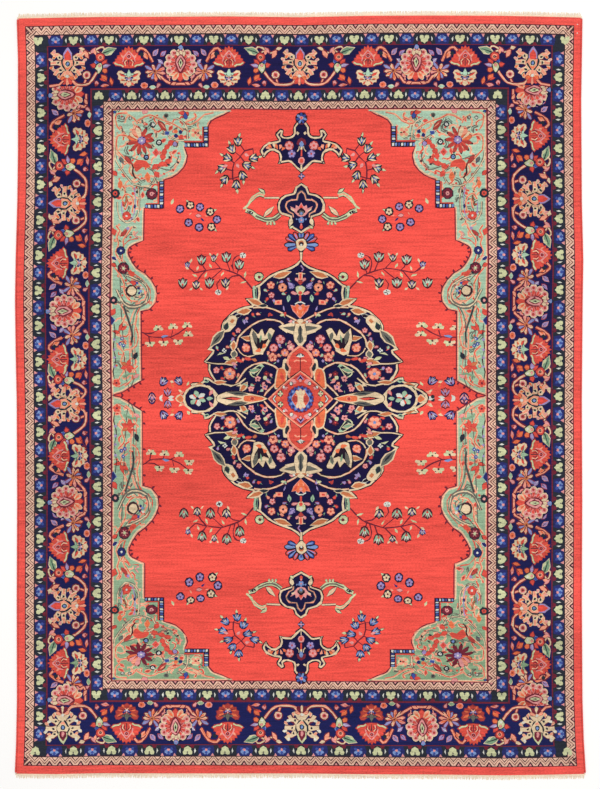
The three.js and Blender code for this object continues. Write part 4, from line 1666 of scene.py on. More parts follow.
def draw_vase_palmette(weaver):
    """The vase-shaped palmette inside the second arc."""
    weaver.leaf("tan", 46, 59, 8, 13, 4, edge="cream", edge_width=1)
    weaver.fill(
        "cream",
        [
            (48.6, 69.6), (50, 60), (48, 52), (46.4, 44.4), (38, 44.6), (33, 51.6), (29, 60), (25.6, 67.6),
            (31, 70), (35.6, 62), (38, 69), (42.6, 64),
        ],
        True, edge="ink", edge_width=0.9,
    )
    weaver.fill("ink", [(46.6, 62), (45.6, 54), (41, 48.6), (35.6, 53), (31.6, 60), (37, 58), (41, 60)], True)
    weaver.each(weaver.leaf, (
        ("grey_sage", 47, 67.6, -104, 14, 4.4, "dark_teal", 0.4),
        ("grey_sage", 31.4, 66, -100, 9, 3.2, "sage", 0.4), ("sage", 39, 64, -80, 9, 2.2),
    ))
    weaver.petal("orange", 45.6, 47, 168, 6.6, 4.2)
    weaver.petal("orange", 38.4, 49.6, 130, 6, 4)
    weaver.rosette(54.2, 50.2, 4, "peach", "orange", "red_brown")
    weaver.petal("pink", 54.4, 51, 60, 4.6, 2.4)


def draw_inner_leaves(weaver):
    """The leaf from the axis into the second arc, and the ones in the third arc."""
    weaver.fill(
        "cream", [(5, 76), (13, 74.4), (21.4, 71.6), (13, 66), (4.6, 64.6)], edge="ink", edge_width=0.6,
    )
    weaver.fill("grey_sage", [(5.6, 72.4), (11, 72), (17.4, 70.8), (11, 68.2), (5.6, 67.6)])
    weaver.fill(
        "dark_teal", [(49.8, 26), (43, 31.6), (38, 33.2), (41, 27), (46, 21.6)], edge="pale_green",
        edge_width=1,
    )
    weaver.leaf("mint", 45.6, 24, 44, 7, 2.6)
    weaver.leaf("sage", 41, 29, -14, 10.6, 3.4, edge="cream", edge_width=0.8)
    weaver.leaf("mint", 36, 31.4, 16, 6, 2.4)


def draw_night_flowers(weaver):
    """The small flowers and scattered petals on the dark ground."""
    flowers = (
        (29.4, 113.1, 3.9, "peach", "coral", "maroon"), (17.8, 111, 4.1, "peach", "navy", "tan"),
        (28.7, 103.3, 3, "pink", "coral", "maroon"), (8.8, 112.4, 3.2, "lilac", "navy", "guard_navy"),
        (19.9, 59, 4.6, "pink", "coral", "maroon"), (9.4, 51.5, 3.9, "pink", "cream", "maroon"),
        (26.6, 50.4, 3.9, "pink", "maroon", "red_brown"), (27.6, 41.2, 4.6, "peach", "red_brown", "maroon"),
        (15.4, 45.6, 3.7, "peach", "lilac", "red_brown"),
        (70.8, 24.2, 5.8, "peach", "light_blue", "red_brown"),
        (34.2, 24.4, 3, "maroon", "coral", "ink"), (42.9, 19.6, 3.2, "pink", "maroon", "navy"),
        (35.9, 11.3, 3.4, "pink", "mid_blue", "navy"), (49.6, 9.6, 3.2, "pink", "coral", "navy"),
        (84, 28, 3.2, "pink", "coral", "maroon"), (62, 67.7, 2.6, "pink", "coral", "maroon"),
    )
    for x, y, radius, petals, heart, ground in flowers:
        weaver.rosette(x, y, radius, petals, heart, ground)
    for x, y, angle in (
        (34, 107.6, 40), (22.6, 117, 160), (35.4, 98.2, 120), (15.4, 105, 20), (27, 96.4, 80), (12, 118, 60),
        (41, 84.6, 20), (47.6, 82.4, 70), (57, 79.4, 150), (17, 83, 100), (66.4, 63, 60), (70, 58, 120),
        (71.6, 51.4, 20), (84, 49, 80), (66, 42, 200), (60, 38, 130), (21, 51.6, 70), (14, 56, 150),
        (33.6, 44, 100), (20.4, 42.6, 30), (32, 39, 160), (30.2, 21.8, 80), (40, 14, 130), (47, 13.4, 20),
        (32, 18, 40), (42.4, 8, 160), (78.6, 29, 60), (64.4, 22, 110), (77, 20, 20), (66, 30.4, 70),
    ):
        dye = ("coral", "pink", "mint", "lilac", "peach")[weaver.chance.randrange(5)]
        weaver.petal(dye, x - 1.2, y - 1.2, angle, 4.2, 2.6, edge="maroon", edge_width=0.6)
        weaver.leaf("sage" if dye != "mint" else "coral", x, y, angle + 130, 3.2, 1.2)


def draw_last_petals(weaver):
    """Single buds, leaves and petals beside the arcs, and the foot of the side lobe."""
    weaver.fill(
        "peach", [(18.4, 98.4), (25, 98), (25.4, 93.8), (18.6, 94)], False, edge="maroon", edge_width=0.5,
    )
    weaver.fill("coral", [(20.4, 97.2), (23.6, 97), (23.4, 95), (20.6, 95)], False)
    weaver.leaf("mint", 11.2, 103.6, -84, 7.4, 3.4, edge="sage", edge_width=0.4, vein="dark_teal")
    weaver.leaf("lilac", 17.2, 92.6, -110, 5.8, 2)
    weaver.dot("pale_green", 35.4, 20.6, 2.2, 6)
    weaver.dot("lilac", 22.4, 37.4, 1.5, 5)
    weaver.leaf("mint", 24, 36.6, -40, 4.4, 1.3)
    weaver.leaf("pink", 29, 14.8, 30, 7.4, 2.4)
    weaver.leaf("cream", 57.6, 13.4, -12, 7, 2.2)
    weaver.leaf("mint", 52, 12, 20, 7, 2)
    for x, y, angle, length, dye in (
        (45, 38.6, 190, 8.4, "coral"), (53.4, 36, 200, 8.4, "coral"), (60.4, 32.8, 205, 6.8, "pink"),
        (46.6, 39.2, 20, 5.6, "tan"),
    ):
        weaver.petal(dye, x + length * 0.4, y, angle - 180, length * 0.9, 2.9, edge="maroon", edge_width=0.5)
    weaver.leaf("pale_green", 77.6, 41, 200, 8.6, 3.4, edge="ink", edge_width=0.6)
    weaver.fill("pale_green", [(75, 44.6), (80.4, 45.8), (83.4, 42.6), (79.6, 43.4)], False)
    weaver.rosette(76, 47.6, 2.4, "white", "guard_navy", "dark_teal", 4)
    for x, y, angle, dye in (
        (28, 84.2, 10, "coral"), (33, 82.6, 120, "red_brown"), (53, 76.8, 30, "lilac"),
        (56.4, 74.8, 80, "lilac"), (21.6, 84, 170, "pale_green"), (10.6, 78.6, 200, "white"),
        (13, 77.4, 160, "pink"),
    ):
        weaver.petal(dye, x - 1, y - 1, angle, 4.6, 2.8, edge="navy", edge_width=0.3)
    with weaver.at(0, 1):
        weaver.fill("tan", [(108, 10.6), (102.6, 12.4), (97, 12.6), (101, 15.2)], False)
        weaver.leaf("dark_teal", 107.4, 7, 150, 7.4, 3.2, edge="pale_green", edge_width=0.8)
    weaver.each(weaver.leaf, (
        ("dark_teal", 92.4, 17, 12, 4.4, 2, "mint", 0.9), ("tan", 87, 15.4, 176, 12.4, 3.2, "cream", 1),
    ))


def draw_medallion_heart(weaver):
    """What lies on the medallion's own axes: posts, side lobes, diamond and the ring in its middle."""
    for turn in (0, 180):
        with weaver.at(0, 0, turn):
            draw_post(weaver)
            draw_ogee(weaver)
    for flip in (False, True):
        with weaver.at(0, -0.4, flip=flip, bend=widened):
            draw_side_lobe(weaver)
    with weaver.at(0, -0.6, bend=narrowed):
        draw_diamond(weaver)


def draw_post(weaver):
    """The small flowers stacked on the axis under the medallion's apex."""
    weaver.line("lilac", [(0, 133), (3, 129.6), (1, 127.4)], 1, edge="maroon", edge_width=0.5)
    weaver.line("cream", [(-4.8, 125), (4.8, 125)], 1, smooth=False)
    weaver.line("peach", [(0, 126), (0, 118.6)], 3.4, smooth=False, edge="cream", edge_width=0.6)
    weaver.line("coral", [(0, 125), (0, 119.6)], 1.4, smooth=False)
    for side in (-1, 1):
        weaver.petal("pink", side * 2, 117, 90 - side * 40, 4.4, 2.8, edge="maroon", edge_width=0.5)
        weaver.leaf("lilac", side * 6, 110.6, 90 - side * 48, 9, 3.2, edge="guard_navy", edge_width=0.5)
        weaver.petal("pink", side * 2, 104.6, 90 - side * 78, 7.4, 3, edge="maroon", edge_width=0.5)
    weaver.fill(
        "red_brown", [(0, 118.8), (2.6, 116.2), (0, 113.6)], False, True, edge="maroon", edge_width=0.5,
    )
    weaver.fill(
        "pale_green", [(0, 113), (4.4, 111), (3.6, 106.4), (0, 104)], True, True, edge="dark_teal",
        edge_width=0.5,
    )
    weaver.dot("white", 0, 110.2, 1.7, 6)
    weaver.dot("coral", 0, 105.8, 2.2, 6, edge="pale_green")
    weaver.line("coral", [(0, 103.4), (0, 97)], 1.8, smooth=False, edge="maroon", edge_width=0.4)
    weaver.fill(
        "orange", [(0, 80.6), (4.6, 85.6), (7, 88.4), (9.2, 93), (5, 92), (3.4, 94.6), (0, 92)], False,
        True, edge="pink", edge_width=0.7,
    )
    for side in (-1, 1):
        weaver.petal("coral", side * 3.4, 86.4, 90 - side * 30, 6, 2.4)
        weaver.petal("peach", side * 1.6, 83.4, 90 - side * 20, 4.4, 1.8)
    weaver.line(
        "white", [(-5, 94.4), (-2, 96.2), (2, 96.2), (5, 94.4)], 1.2, edge="dark_teal", edge_width=0.5,
    )
    weaver.dot("pink", 0, 90.6, 1.9, 6)
    weaver.fill(
        "cream", [(0, 80), (3.4, 77), (5.4, 71), (6.2, 60), (4.4, 56), (0, 51.6)], True, True, edge="ink",
        edge_width=0.6,
    )
    weaver.fill("grey_sage", [(0, 72.6), (2.6, 69), (1.8, 64), (3.4, 59.4), (0, 54.8)], True, True)
    weaver.line("dark_teal", [(0, 73), (0, 57)], 1.5, 0.6, smooth=False)
    for side in (-1, 1):
        weaver.leaf("tan", side * 0.8, 74.6, 90 - side * 70, 6, 2.4)


def draw_ogee(weaver):
    """The coral pointed arch over the diamond, with a leaf at each foot."""
    for _ in weaver.both():
        weaver.fill(
            "cream", [(10.6, 26), (9.2, 32.6), (12, 38.6), (16.8, 38.4), (17.8, 31), (15.4, 25.4)],
            edge="ink", edge_width=0.5,
        )
        weaver.fill(
            "dark_teal", [(12, 27.4), (11.4, 32.4), (13.2, 36), (15.6, 35.4), (15.8, 30.6), (14.4, 27.4)],
        )
        weaver.fill(
            "orange",
            [(15.6, 16), (14.4, 24.4), (17.4, 29.8), (22.6, 27.2), (24.4, 17), (24.6, 10.6), (18, 11.6)],
            edge="cream", edge_width=1.3,
        )
        weaver.leaf("coral", 17, 15.6, 78, 12, 3.6)
    weaver.fill(
        "coral", [(0, 51.4, 1), (6.4, 46.8), (10.6, 41.6), (12, 36), (9.4, 30), (10.6, 22), (0, 16)], True,
        True, edge="peach", edge_width=1.9,
    )
    weaver.fill(
        "coral", [(0, 51, 1), (6.2, 46.4), (10.2, 41.4), (11.6, 36), (9, 30), (10.2, 22), (0, 16)], True,
        True, edge="ink", edge_width=0.4,
    )
    weaver.line("ink", [(0, 45), (0, 28)], 0.9, smooth=False)
    for angle in (30, 62, 90, 118, 150):
        weaver.petal("dark_teal", 0, 41, angle, 4.9, 2.2)
        weaver.petal("white", 0, 41, angle, 4, 1.1)
    for side in (-1, 1):
        weaver.line("peach", [(side * 0.6, 37.6), (side * 3.6, 38.4), (side * 6.2, 36.6)], 1.5)


def draw_side_lobe(weaver):
    """The round lobe at the medallion's side, with its own flower."""
    weaver.dot("cream", 94.8, 0, 15.2, 16, 0.94)
    weaver.fill("cream", [(82, 9), (78, 0), (82, -9), (90, -12), (90, 12)])
    weaver.dot("ink", 94.8, 0, 13.2, 14, 0.95)
    weaver.dot("navy", 94.8, 0, 12.6, 14, 0.95)
    weaver.fill("orange", [(109.4, 0), (112, 3.6), (115.6, 0), (112, -3.6)], edge="cream", edge_width=1)
    weaver.dot("tan", 112.4, 0, 2, 6)
    for angle in (0, 60, 120, 180, 240, 300):
        weaver.petal(
            "mint" if angle % 120 else "white", 97, 0, angle + 20, 7.6, 4.2, edge="dark_teal",
            edge_width=0.5,
        )
    for angle in (50, 170, 290):
        weaver.petal("coral", 97, 0, angle, 5.6, 2)
    weaver.dot("navy", 97, 0, 1.6, 6)
    weaver.each(weaver.petal, (
        ("pink", 86.4, 3, 120, 5.6, 2.4, "coral", 0.5), ("pink", 86.4, -3, 240, 5.6, 2.4, "coral", 0.5),
    ))
    weaver.leaf("mint", 89.4, 0, 180, 6.6, 4)
    # The leaves that join the lobe to the diamond.
    weaver.fill(
        "cream",
        [
            (79, 2.6), (72, 6.2), (64, 7.4), (56, 6.4), (46, 4.4), (32.6, 0), (46, -4.4), (56, -6.4),
            (64, -7.4), (72, -6.2), (79, -2.6),
        ],
        edge="ink", edge_width=0.9,
    )
    weaver.fill("orange", [(35, 0), (44, 2.8), (54, 2.6), (54, -2.6), (44, -2.8)])
    weaver.dot("red_brown", 47, 0, 1.9, 6, edge="peach", edge_width=0.5)
    for side in (-1, 1):
        weaver.leaf("grey_sage", 51, side * 4.2, side * 6, 20, 3.6, edge="ink", edge_width=0.5)
        weaver.leaf("dark_teal", 53, side * 4.4, side * 6, 14, 1.6)
    weaver.leaf("ink", 56, 0, 0, 20, 4)
    weaver.leaf("coral", 57, 0, 0, 15, 2.2)


def draw_diamond(weaver):
    """The coral diamond in the middle with its ringed rosette."""
    outline = [(37.2, 0, 1), (28.6, 7.4), (20.4, 14.4), (11.6, 20.8), (0, 28.6, 1)]
    whole = [*outline, *((-x, y, *rest) for x, y, *rest in reversed(outline[:-1]))]
    below = [(x, -y, *rest) for x, y, *rest in reversed(whole[1:-1])]
    ring = turned_left(smoothed([*whole, *below], True))
    weaver.ring("ink", grown(ring, 0.8))
    weaver.ring("peach", ring)
    weaver.ring("coral", grown(ring, -1.4))
    weaver.ring("maroon", grown(ring, -2.8))
    weaver.ring("coral", grown(ring, -3.5))
    for right in (0, 180):
        with weaver.at(degrees=right):
            weaver.line(
                "white", [(28.4, 3.4), (31, 0), (28.4, -3.4)], 1.5, smooth=False, edge="dark_teal",
                edge_width=0.6,
            )
            weaver.dot("orange", 25.6, 0, 2.6, 7)
            for side in (-1, 1):
                weaver.rosette(23, side * 5.4, 3, "pale_green", "pink", "dark_teal", 4)
                weaver.leaf("pink", 19, side * 9.6, side * 150, 5.6, 2.4, edge="maroon", edge_width=0.4)
                weaver.dot("white", 19, side * 12, 1.4, 5, edge="dark_teal", edge_width=0.5)
    for far in (0, 180):
        with weaver.at(degrees=far):
            weaver.fill("navy", [(0, 24.4), (4.4, 20.2), (0, 18.4)], False, True)
            weaver.line("lilac", [(-4, 19.4), (0, 23.4), (4, 19.4)], 1.1, smooth=False)
            weaver.dot("pink", 0, 18.6, 1.6, 6, edge="maroon", edge_width=0.5)
            for side in (-1, 1):
                weaver.fill(
                    "pink", [(side * 4, 17.4), (side * 8.6, 20), (side * 12, 17), (side * 8, 14.8)],
                    edge="coral", edge_width=0.5,
                )
                weaver.dot("white", side * 10.6, 15.4, 1.8, 6, edge="ink", edge_width=0.7)
    weaver.dot("maroon", 0, 0, 15.6, 18, 0.88)
    points = []
    for index in range(40):
        angle = math.tau * index / 40
        reach = 15.4 if index % 2 else 13.2
        points.append((reach * math.cos(angle), reach * 0.87 * math.sin(angle)))
    weaver.fill("mid_blue", points, False)
    for index in range(20):
        angle = math.tau * (index + 0.5) / 20
        dye = "light_blue" if index % 2 else "guard_navy"
        weaver.dot(dye, 11.8 * math.cos(angle), 10.4 * math.sin(angle), 1.5, 5)
    weaver.dot("light_blue", 0, 0, 10.4, 14, 0.88)
    weaver.dot("coral", 0, 0, 9.6, 14, 0.9)
    for angle in (0, 180):
        weaver.petal("red_brown", 0, 0, angle, 9.6, 8.4, edge="peach", edge_width=0.4)
    for angle in (62, 90, 118, 242, 270, 298):
        weaver.petal("cream" if angle % 4 else "orange", 0, 0, angle, 9.8, 4.2, edge="orange", edge_width=0.5)
    weaver.fill("cream", [(-3, -3.2), (3, -3.2), (3, 3.2), (-3, 3.2)], False, edge="pink", edge_width=0.5)


# Wear


def draw_wear(weaver):
    """Bare cotton where the pile has worn through: three single knots."""
    for x, y in ((278.6, 371.6), (278.6, 362.8), (130.2, -296.6)):
        weaver.dot("white", x, y, 0.8, 5)


# The pile's mesh

# A woven side: its shapes, its corners and triangles, the shape that owns each one, and its outer corners.
Weave = namedtuple("Weave", "shapes spots triangles owners border")
PATTERN_SEED = 5
# The flat top's outline: the distance of its corners, and the steps for each square they are rounded to.
PLATEAU_STEP = 8.0
PLATEAU_GRAIN = 5
# Corners added between the shapes, so that the top can ripple: their reach, distance and offset.
GRID_HALF_WIDTH = 273
GRID_HALF_LENGTH = 364
GRID_STEP = 17
GRID_OFFSET = complex(0.37, 0.41)
# Ripples of the top for each metre.
RIPPLES = 2.1
# The rim's rings from the top down. The inset and the rise are in roundings of the edge, and the level is
# 1 for the top and 0 for the underside.
RIM_PROFILE = ((0.29, 1.0, -0.29), (0.0, 1.0, -1.0), (0.0, 0.0, 1.0), (0.29, 0.0, 0.29))
# Painted shade: the rim's rounded side is drawn darker than the top.
RIM_PAINTED_SHADE = 0.96
# Painted shade: the underside, turned away from the light, is drawn darker still.
UNDERSIDE_PAINTED_SHADE = 0.92
# Where the parts lie on the bake's square. The rim is cut into rows, each of a few thin strips.
Island = namedtuple("Island", "left width low height")
TOP_ISLAND = Island(0.005, 0.735, 0.005, 0.99)
UNDERSIDE_ISLAND = Island(0.995, -0.235, 0.005, 0.315)
RIM_STRIP = Island(0.76, 0.23, 0.34, 0.0045)
RIM_ROWS = 20
RIM_ROW_PITCH = 0.032


def edge_at(table, place):
    """The edge's distance from the middle at a place along it, in millimetres."""
    if place <= table[0][0]:
        return table[0][1]
    for (before, low), (after, high) in zip(table, table[1:]):
        if place <= after:
            return low + (high - low) * (place - before) / (after - before)
    return table[-1][1]


class Loom:
    """Stretches the chart onto the rug's uneven edges, in metres."""

    def __init__(self, sizes):
        self.inset = (sizes.cord + sizes.cord_gap) / MM
        self.square = sizes.square / MM
        # The frame has the rug a little off the photo's middle: by lift along it, and by side across it.
        lowest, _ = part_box("pile_body")
        self.lift = lowest[1] / MM - min(along for _, along in NEAR_EDGE)
        self.side = lowest[0] / MM - (min(across for _, across in LEFT_EDGE) + self.inset)
        self.half_width = HALF_WIDTH - CORD_SQUARES
        self.half_length = HALF_LENGTH

    def spot(self, x, y):
        """Where the chart's x, y lies on the rug."""
        along = y * self.square
        across = x * self.square
        left = edge_at(LEFT_EDGE, along) + self.inset
        right = edge_at(RIGHT_EDGE, along) - self.inset
        far = edge_at(FAR_EDGE, across)
        near = edge_at(NEAR_EDGE, across)
        real_x = (left + right) / 2 + x / self.half_width * (right - left) / 2 + self.side
        real_y = (far + near) / 2 + y / self.half_length * (far - near) / 2 + self.lift
        return real_x * MM, real_y * MM


def dye_at(colours, dye, y):
    """A dye's colour at a place along the rug, as some dyes drift from one end to the other."""
    colour = colours[dye]
    if dye == "field_red":
        depths = (depth * math.exp(-(((y - middle) / reach) ** 2)) for middle, reach, depth in ABRASH)
        shade = 1.0 - sum(depths)
        return tuple(part * shade for part in colour)
    if dye not in DRIFTS:
        return colour
    other = colours[DRIFTS[dye]]
    share = min(1.0, max(0.0, 0.5 - y / (2 * FIELD_HALF_LENGTH)))
    return tuple(first + (second - first) * share for first, second in zip(colour, other))


def holds(ring, spot):
    """Whether the ring surrounds the spot."""
    held = False
    before = ring[-1]
    for after in ring:
        if (after.imag > spot.imag) != (before.imag > spot.imag):
            share = (spot.imag - before.imag) / (after.imag - before.imag)
            if spot.real < before.real + (after.real - before.real) * share:
                held = not held
        before = after
    return held


def topmost(shapes, spots, triangles):
    """For each triangle, the last drawn shape that surrounds its middle."""
    boxes = []
    cells = defaultdict(list)
    for index, (ring, _, _) in enumerate(shapes):
        left, right = min(spot.real for spot in ring), max(spot.real for spot in ring)
        low, high = min(spot.imag for spot in ring), max(spot.imag for spot in ring)
        boxes.append((left, right, low, high))
        for column in range(int(left // CELL), int(right // CELL) + 1):
            for row in range(int(low // CELL), int(high // CELL) + 1):
                cells[column, row].append(index)
    tops = []
    for triangle in triangles:
        middle = sum((complex(*spots[vert]) for vert in triangle), 0j) / 3
        x, y = middle.real, middle.imag
        top = 0
        for index in reversed(cells[int(x // CELL), int(y // CELL)]):
            left, right, low, high = boxes[index]
            if left <= x <= right and low <= y <= high and holds(shapes[index][0], middle):
                top = index
                break
        tops.append(top)
    return tops


def shown_edges(shapes, triangles, tops):
    """The edges that part two looks, and the places on the outside."""
    single = {}
    edges = []
    for triangle, top in zip(triangles, tops):
        look = shapes[top][1:]
        for index, vert in enumerate(triangle):
            before = triangle[index - 1]
            key = (min(before, vert), max(before, vert))
            if key not in single:
                single[key] = look
            elif single.pop(key) != look:
                edges.append(key)
    rim = {vert for key in single for vert in key}
    return edges + sorted(single), rim


def straightened(spots, edges, kept):
    """Leaves out places where an outline runs almost straight on."""
    near = defaultdict(set)
    for first, second in edges:
        if first != second:
            near[first].add(second)
            near[second].add(first)
    for vert in sorted(near):
        if vert in kept or len(near[vert]) != 2:
            continue
        first, second = sorted(near[vert])
        here, start, end = complex(*spots[vert]), complex(*spots[first]), complex(*spots[second])
        length = abs(end - start)
        if second in near[first] or not TINY < length < LONGEST:
            continue
        if abs(((end - start).conjugate() * (here - start)).imag) / length > SLACK:
            continue
        near[first].remove(vert)
        near[second].remove(vert)
        near[first].add(second)
        near[second].add(first)
        near[vert].clear()
    return sorted({(min(vert, other), max(vert, other)) for vert in near for other in near[vert]})


def outlines(shapes):
    """The shapes' shared corners and the edges between them, with the first shape's corners in order."""
    verts = []
    known = {}
    edges = set()
    outside = []
    for ring, _, _ in shapes:
        face = []
        for spot in ring:
            key = (round(spot.real * GRAIN), round(spot.imag * GRAIN))
            if key not in known:
                known[key] = len(verts)
                verts.append(Vector((key[0] / GRAIN, key[1] / GRAIN)))
            face.append(known[key])
        outside = outside or face
        for index, vert in enumerate(face):
            before = face[index - 1]
            if before != vert:
                edges.add((min(before, vert), max(before, vert)))
    return verts, sorted(edges), outside


def cut(verts, edges):
    """Triangles that keep all the edges, and where each given corner went."""
    spots, _, triangles, olds, _, _ = delaunay_2d_cdt(verts, edges, [], 0, WELD, True)
    places = {old: index for index, group in enumerate(olds) for old in group}
    return spots, triangles, places


def snapped(spots, edges, kept):
    """Moves the edges' corners onto the rows of knots, except the kept ones."""
    verts = []
    known = {}
    fresh = {}
    for vert in sorted({vert for edge in edges for vert in edge}):
        x, y = spots[vert]
        key = vert if vert in kept else (round(x * KNOTS), round(y * KNOTS))
        if key not in known:
            known[key] = len(verts)
            verts.append(spots[vert] if vert in kept else Vector((key[0] / KNOTS, key[1] / KNOTS)))
        fresh[vert] = known[key]
    return verts, fresh


def woven(shapes, extra):
    """Cuts the overlapping shapes into triangles, with extra corners, each owned by its topmost shape."""
    verts, edges, outside = outlines(shapes)
    spots, triangles, places = cut(verts, edges)
    border = [places[vert] for vert in outside]
    edges, rim = shown_edges(shapes, triangles, topmost(shapes, spots, triangles))
    edges = straightened(spots, edges, rim)
    verts, fresh = snapped(spots, edges, rim)
    rim = {fresh[vert] for vert in rim}
    edges = straightened(verts, [(fresh[first], fresh[second]) for first, second in edges], rim)
    used = sorted({vert for edge in edges for vert in edge})
    order = {vert: index for index, vert in enumerate(used)}
    verts = [verts[vert] for vert in used] + [Vector((spot.real, spot.imag)) for spot in extra]
    edges = [(order[first], order[second]) for first, second in edges]
    spots, triangles, places = cut(verts, edges)
    border = [places[order[fresh[vert]]] for vert in border]
    return Weave(shapes, spots, triangles, topmost(shapes, spots, triangles), border)


def pile_shapes(weaver, plateau):
    """The whole pattern, drawn over the plain red edge."""
    weaver.ring("edge_red", plateau, 1.0)
    draw_bands(weaver)
    draw_zigzags(weaver)
    draw_guards(weaver)
    draw_main_border(weaver)
    draw_field(weaver)
    draw_wear(weaver)


def underside_shapes(weaver, plateau):
    """The underside shows the same grounds, less crisply."""
    # The underside's edge red is darkened a little more, as painted shade.
    weaver.ring("edge_red", plateau, 0.97)
    draw_bands(weaver)
    draw_grounds(weaver)


class PileMesh:
    """Collects the pile's places and faces, with a colour and a place on the bake for each corner."""

    def __init__(self, loom, colours):
        self.loom = loom
        self.colours = colours
        self.verts = []
        self.faces = []
        self.corner_colours = []
        self.corner_uvs = []

    def add_places(self, places):
        """Adds places and gives their numbers."""
        first = len(self.verts)
        self.verts.extend(places)
        return list(range(first, len(self.verts)))

    def add_face(self, face, dye, tone, rows, uvs):
        """Adds a face, with each corner's row of the chart and its place on the bake."""
        self.faces.append(face)
        for row, uv in zip(rows, uvs):
            red, green, blue = dye_at(self.colours, dye, row)
            self.corner_colours.extend((red * tone, green * tone, blue * tone, 1.0))
            self.corner_uvs.extend(uv)

    def add_weave(self, weave, numbers, island, painted_shade_tone, turned=False):
        """Adds one side's triangles, darkened by a painted shade tone, which a turned side lists the other
        way round.
        """
        wide, long = 2 * self.loom.half_width, 2 * self.loom.half_length
        for triangle, owner in zip(weave.triangles, weave.owners):
            corners = triangle[::-1] if turned else triangle
            spots = [weave.spots[corner] for corner in corners]
            uvs = []
            for x, y in spots:
                u = island.left + island.width * (x / wide + 0.5)
                uvs.append((u, island.low + island.height * (y / long + 0.5)))
            _, dye, tone = weave.shapes[owner]
            face = [numbers[corner] for corner in corners]
            self.add_face(face, dye, tone * painted_shade_tone, [spot.y for spot in spots], uvs)

    def add_rim(self, rings, plateau):
        """Joins the rings round the edge, and lays the strip out in rows on the bake."""
        count = len(plateau)
        for index in range(count):
            following = (index + 1) % count
            row = index * RIM_ROWS // count
            start = RIM_STRIP.left + RIM_STRIP.width * (index * RIM_ROWS / count - row)
            end = start + RIM_STRIP.width * RIM_ROWS / count
            for level, (upper, lower) in enumerate(zip(rings, rings[1:])):
                face = [upper[following], upper[index], lower[index], lower[following]]
                low = RIM_STRIP.low + row * RIM_ROW_PITCH + level * RIM_STRIP.height
                high = low + RIM_STRIP.height
                uvs = [(end, low), (start, low), (start, high), (end, high)]
                # Each rim face takes the edge red darkened by a painted shade.
                self.add_face(face, "edge_red", RIM_PAINTED_SHADE, [plateau[index].imag] * 4, uvs)

    def mesh(self, name):
        """The finished mesh."""
        mesh = bpy.data.meshes.new(name)
        mesh.from_pydata(self.verts, [], self.faces)
        dye_layer = mesh.color_attributes.new("dye", "FLOAT_COLOR", "CORNER")
        dye_layer.data.foreach_set("color", self.corner_colours)
        uv_layer = mesh.uv_layers.new(name="OFBake")
        uv_layer.data.foreach_set("uv", self.corner_uvs)
        mesh.validate()
        mesh.update()
        return mesh


def rim_places(loom, plateau, rim, inset, z):
    """The flat top's outline, moved out to an inset from the rug's edge and set at a height."""
    nearly = 0.3
    places = []
    for spot in plateau:
        x, y = spot.real, spot.imag
        if abs(x) > loom.half_width - rim - nearly:
            x = math.copysign(loom.half_width - rim * inset, x)
        if abs(y) > loom.half_length - rim - nearly:
            y = math.copysign(loom.half_length - rim * inset, y)
        places.append((*loom.spot(x, y), z))
    return places


def top_places(loom, spots, sizes):
    """The top's corners, on its slow ripple."""
    places = []
    for spot in spots:
        x, y = loom.spot(spot.x, spot.y)
        ripple = noise.noise(Vector((x * RIPPLES, y * RIPPLES, 0.0))) * sizes.ripple
        places.append((x, y, sizes.pile_height - sizes.ripple + ripple))
    return places


def woven_side(draw, plateau, extra=()):
    """Draws one side's shapes within the flat part's outline, and weaves them."""
    weaver = Weaver(PATTERN_SEED)
    draw(weaver, plateau)
    return woven(weaver.shapes, extra)


def make_pile(context):
    """The pile as one closed mesh: the woven top, the rounded rim and the underside."""
    sizes = context.scene.rug_sizes
    loom = Loom(sizes)
    rim = sizes.rim / sizes.square
    plateau = [
        complex(*(round(value * PLATEAU_GRAIN) / PLATEAU_GRAIN for value in (spot.real, spot.imag)))
        for spot in frame_ring(loom.half_width - rim, loom.half_length - rim, PLATEAU_STEP)
    ]
    grid = [
        complex(x, y) + GRID_OFFSET
        for x in range(-GRID_HALF_WIDTH, GRID_HALF_WIDTH + 1, GRID_STEP)
        for y in range(-GRID_HALF_LENGTH, GRID_HALF_LENGTH + 1, GRID_STEP)
    ]
    top = woven_side(pile_shapes, plateau, grid)
    low = woven_side(underside_shapes, plateau)
    built = PileMesh(loom, dye_colours(context))
    numbers = built.add_places(top_places(loom, top.spots, sizes))
    rings = [[numbers[vert] for vert in top.border]]
    for inset, level, rise in RIM_PROFILE:
        z = (sizes.pile_height - sizes.ripple) * level + sizes.rim * rise
        rings.append(built.add_places(rim_places(loom, plateau, rim, inset, z)))
    low_numbers = built.add_places([(*loom.spot(spot.x, spot.y), 0.0) for spot in low.spots])
    rings.append([low_numbers[vert] for vert in low.border])
    built.add_weave(top, numbers, TOP_ISLAND, 1.0)
    # The underside is laid down with its painted shade.
    built.add_weave(low, low_numbers, UNDERSIDE_ISLAND, UNDERSIDE_PAINTED_SHADE, turned=True)
    built.add_rim(rings, plateau)
    pile = add_piece(context, "knotted_pile", built.mesh("pile"), wool_material())
    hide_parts("pile_body")
    return pile


def add_piece(context, name, mesh, material):
    """Links a mesh as a piece that rides with the rug."""
    piece = bpy.data.objects.new(name, mesh)
    context.scene.collection.objects.link(piece)
    mesh.materials.append(material)
    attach(piece, "root")
    return piece


# Side cords and ends

# Random seeds of the right and left cord, and of the far and near end.
CORD_SEEDS = {1: 11, -1: 12}
END_SEEDS = {1: 21, -1: 22}
# A cord's tube: its sides, the rings for each turn of wool, and shares of its radius for the wool's
# ridges, for the unevenness, and for the rounded ends, which gain with each ring.
CORD_SIDES = 10
TURN_STEPS = 4
CORD_GROOVE = 0.94
CORD_RIDGE = 0.06
CORD_MEAN = 0.985
CORD_UNEVEN = 0.015
CORD_TIP = 0.45
CORD_TIP_GAIN = 0.2
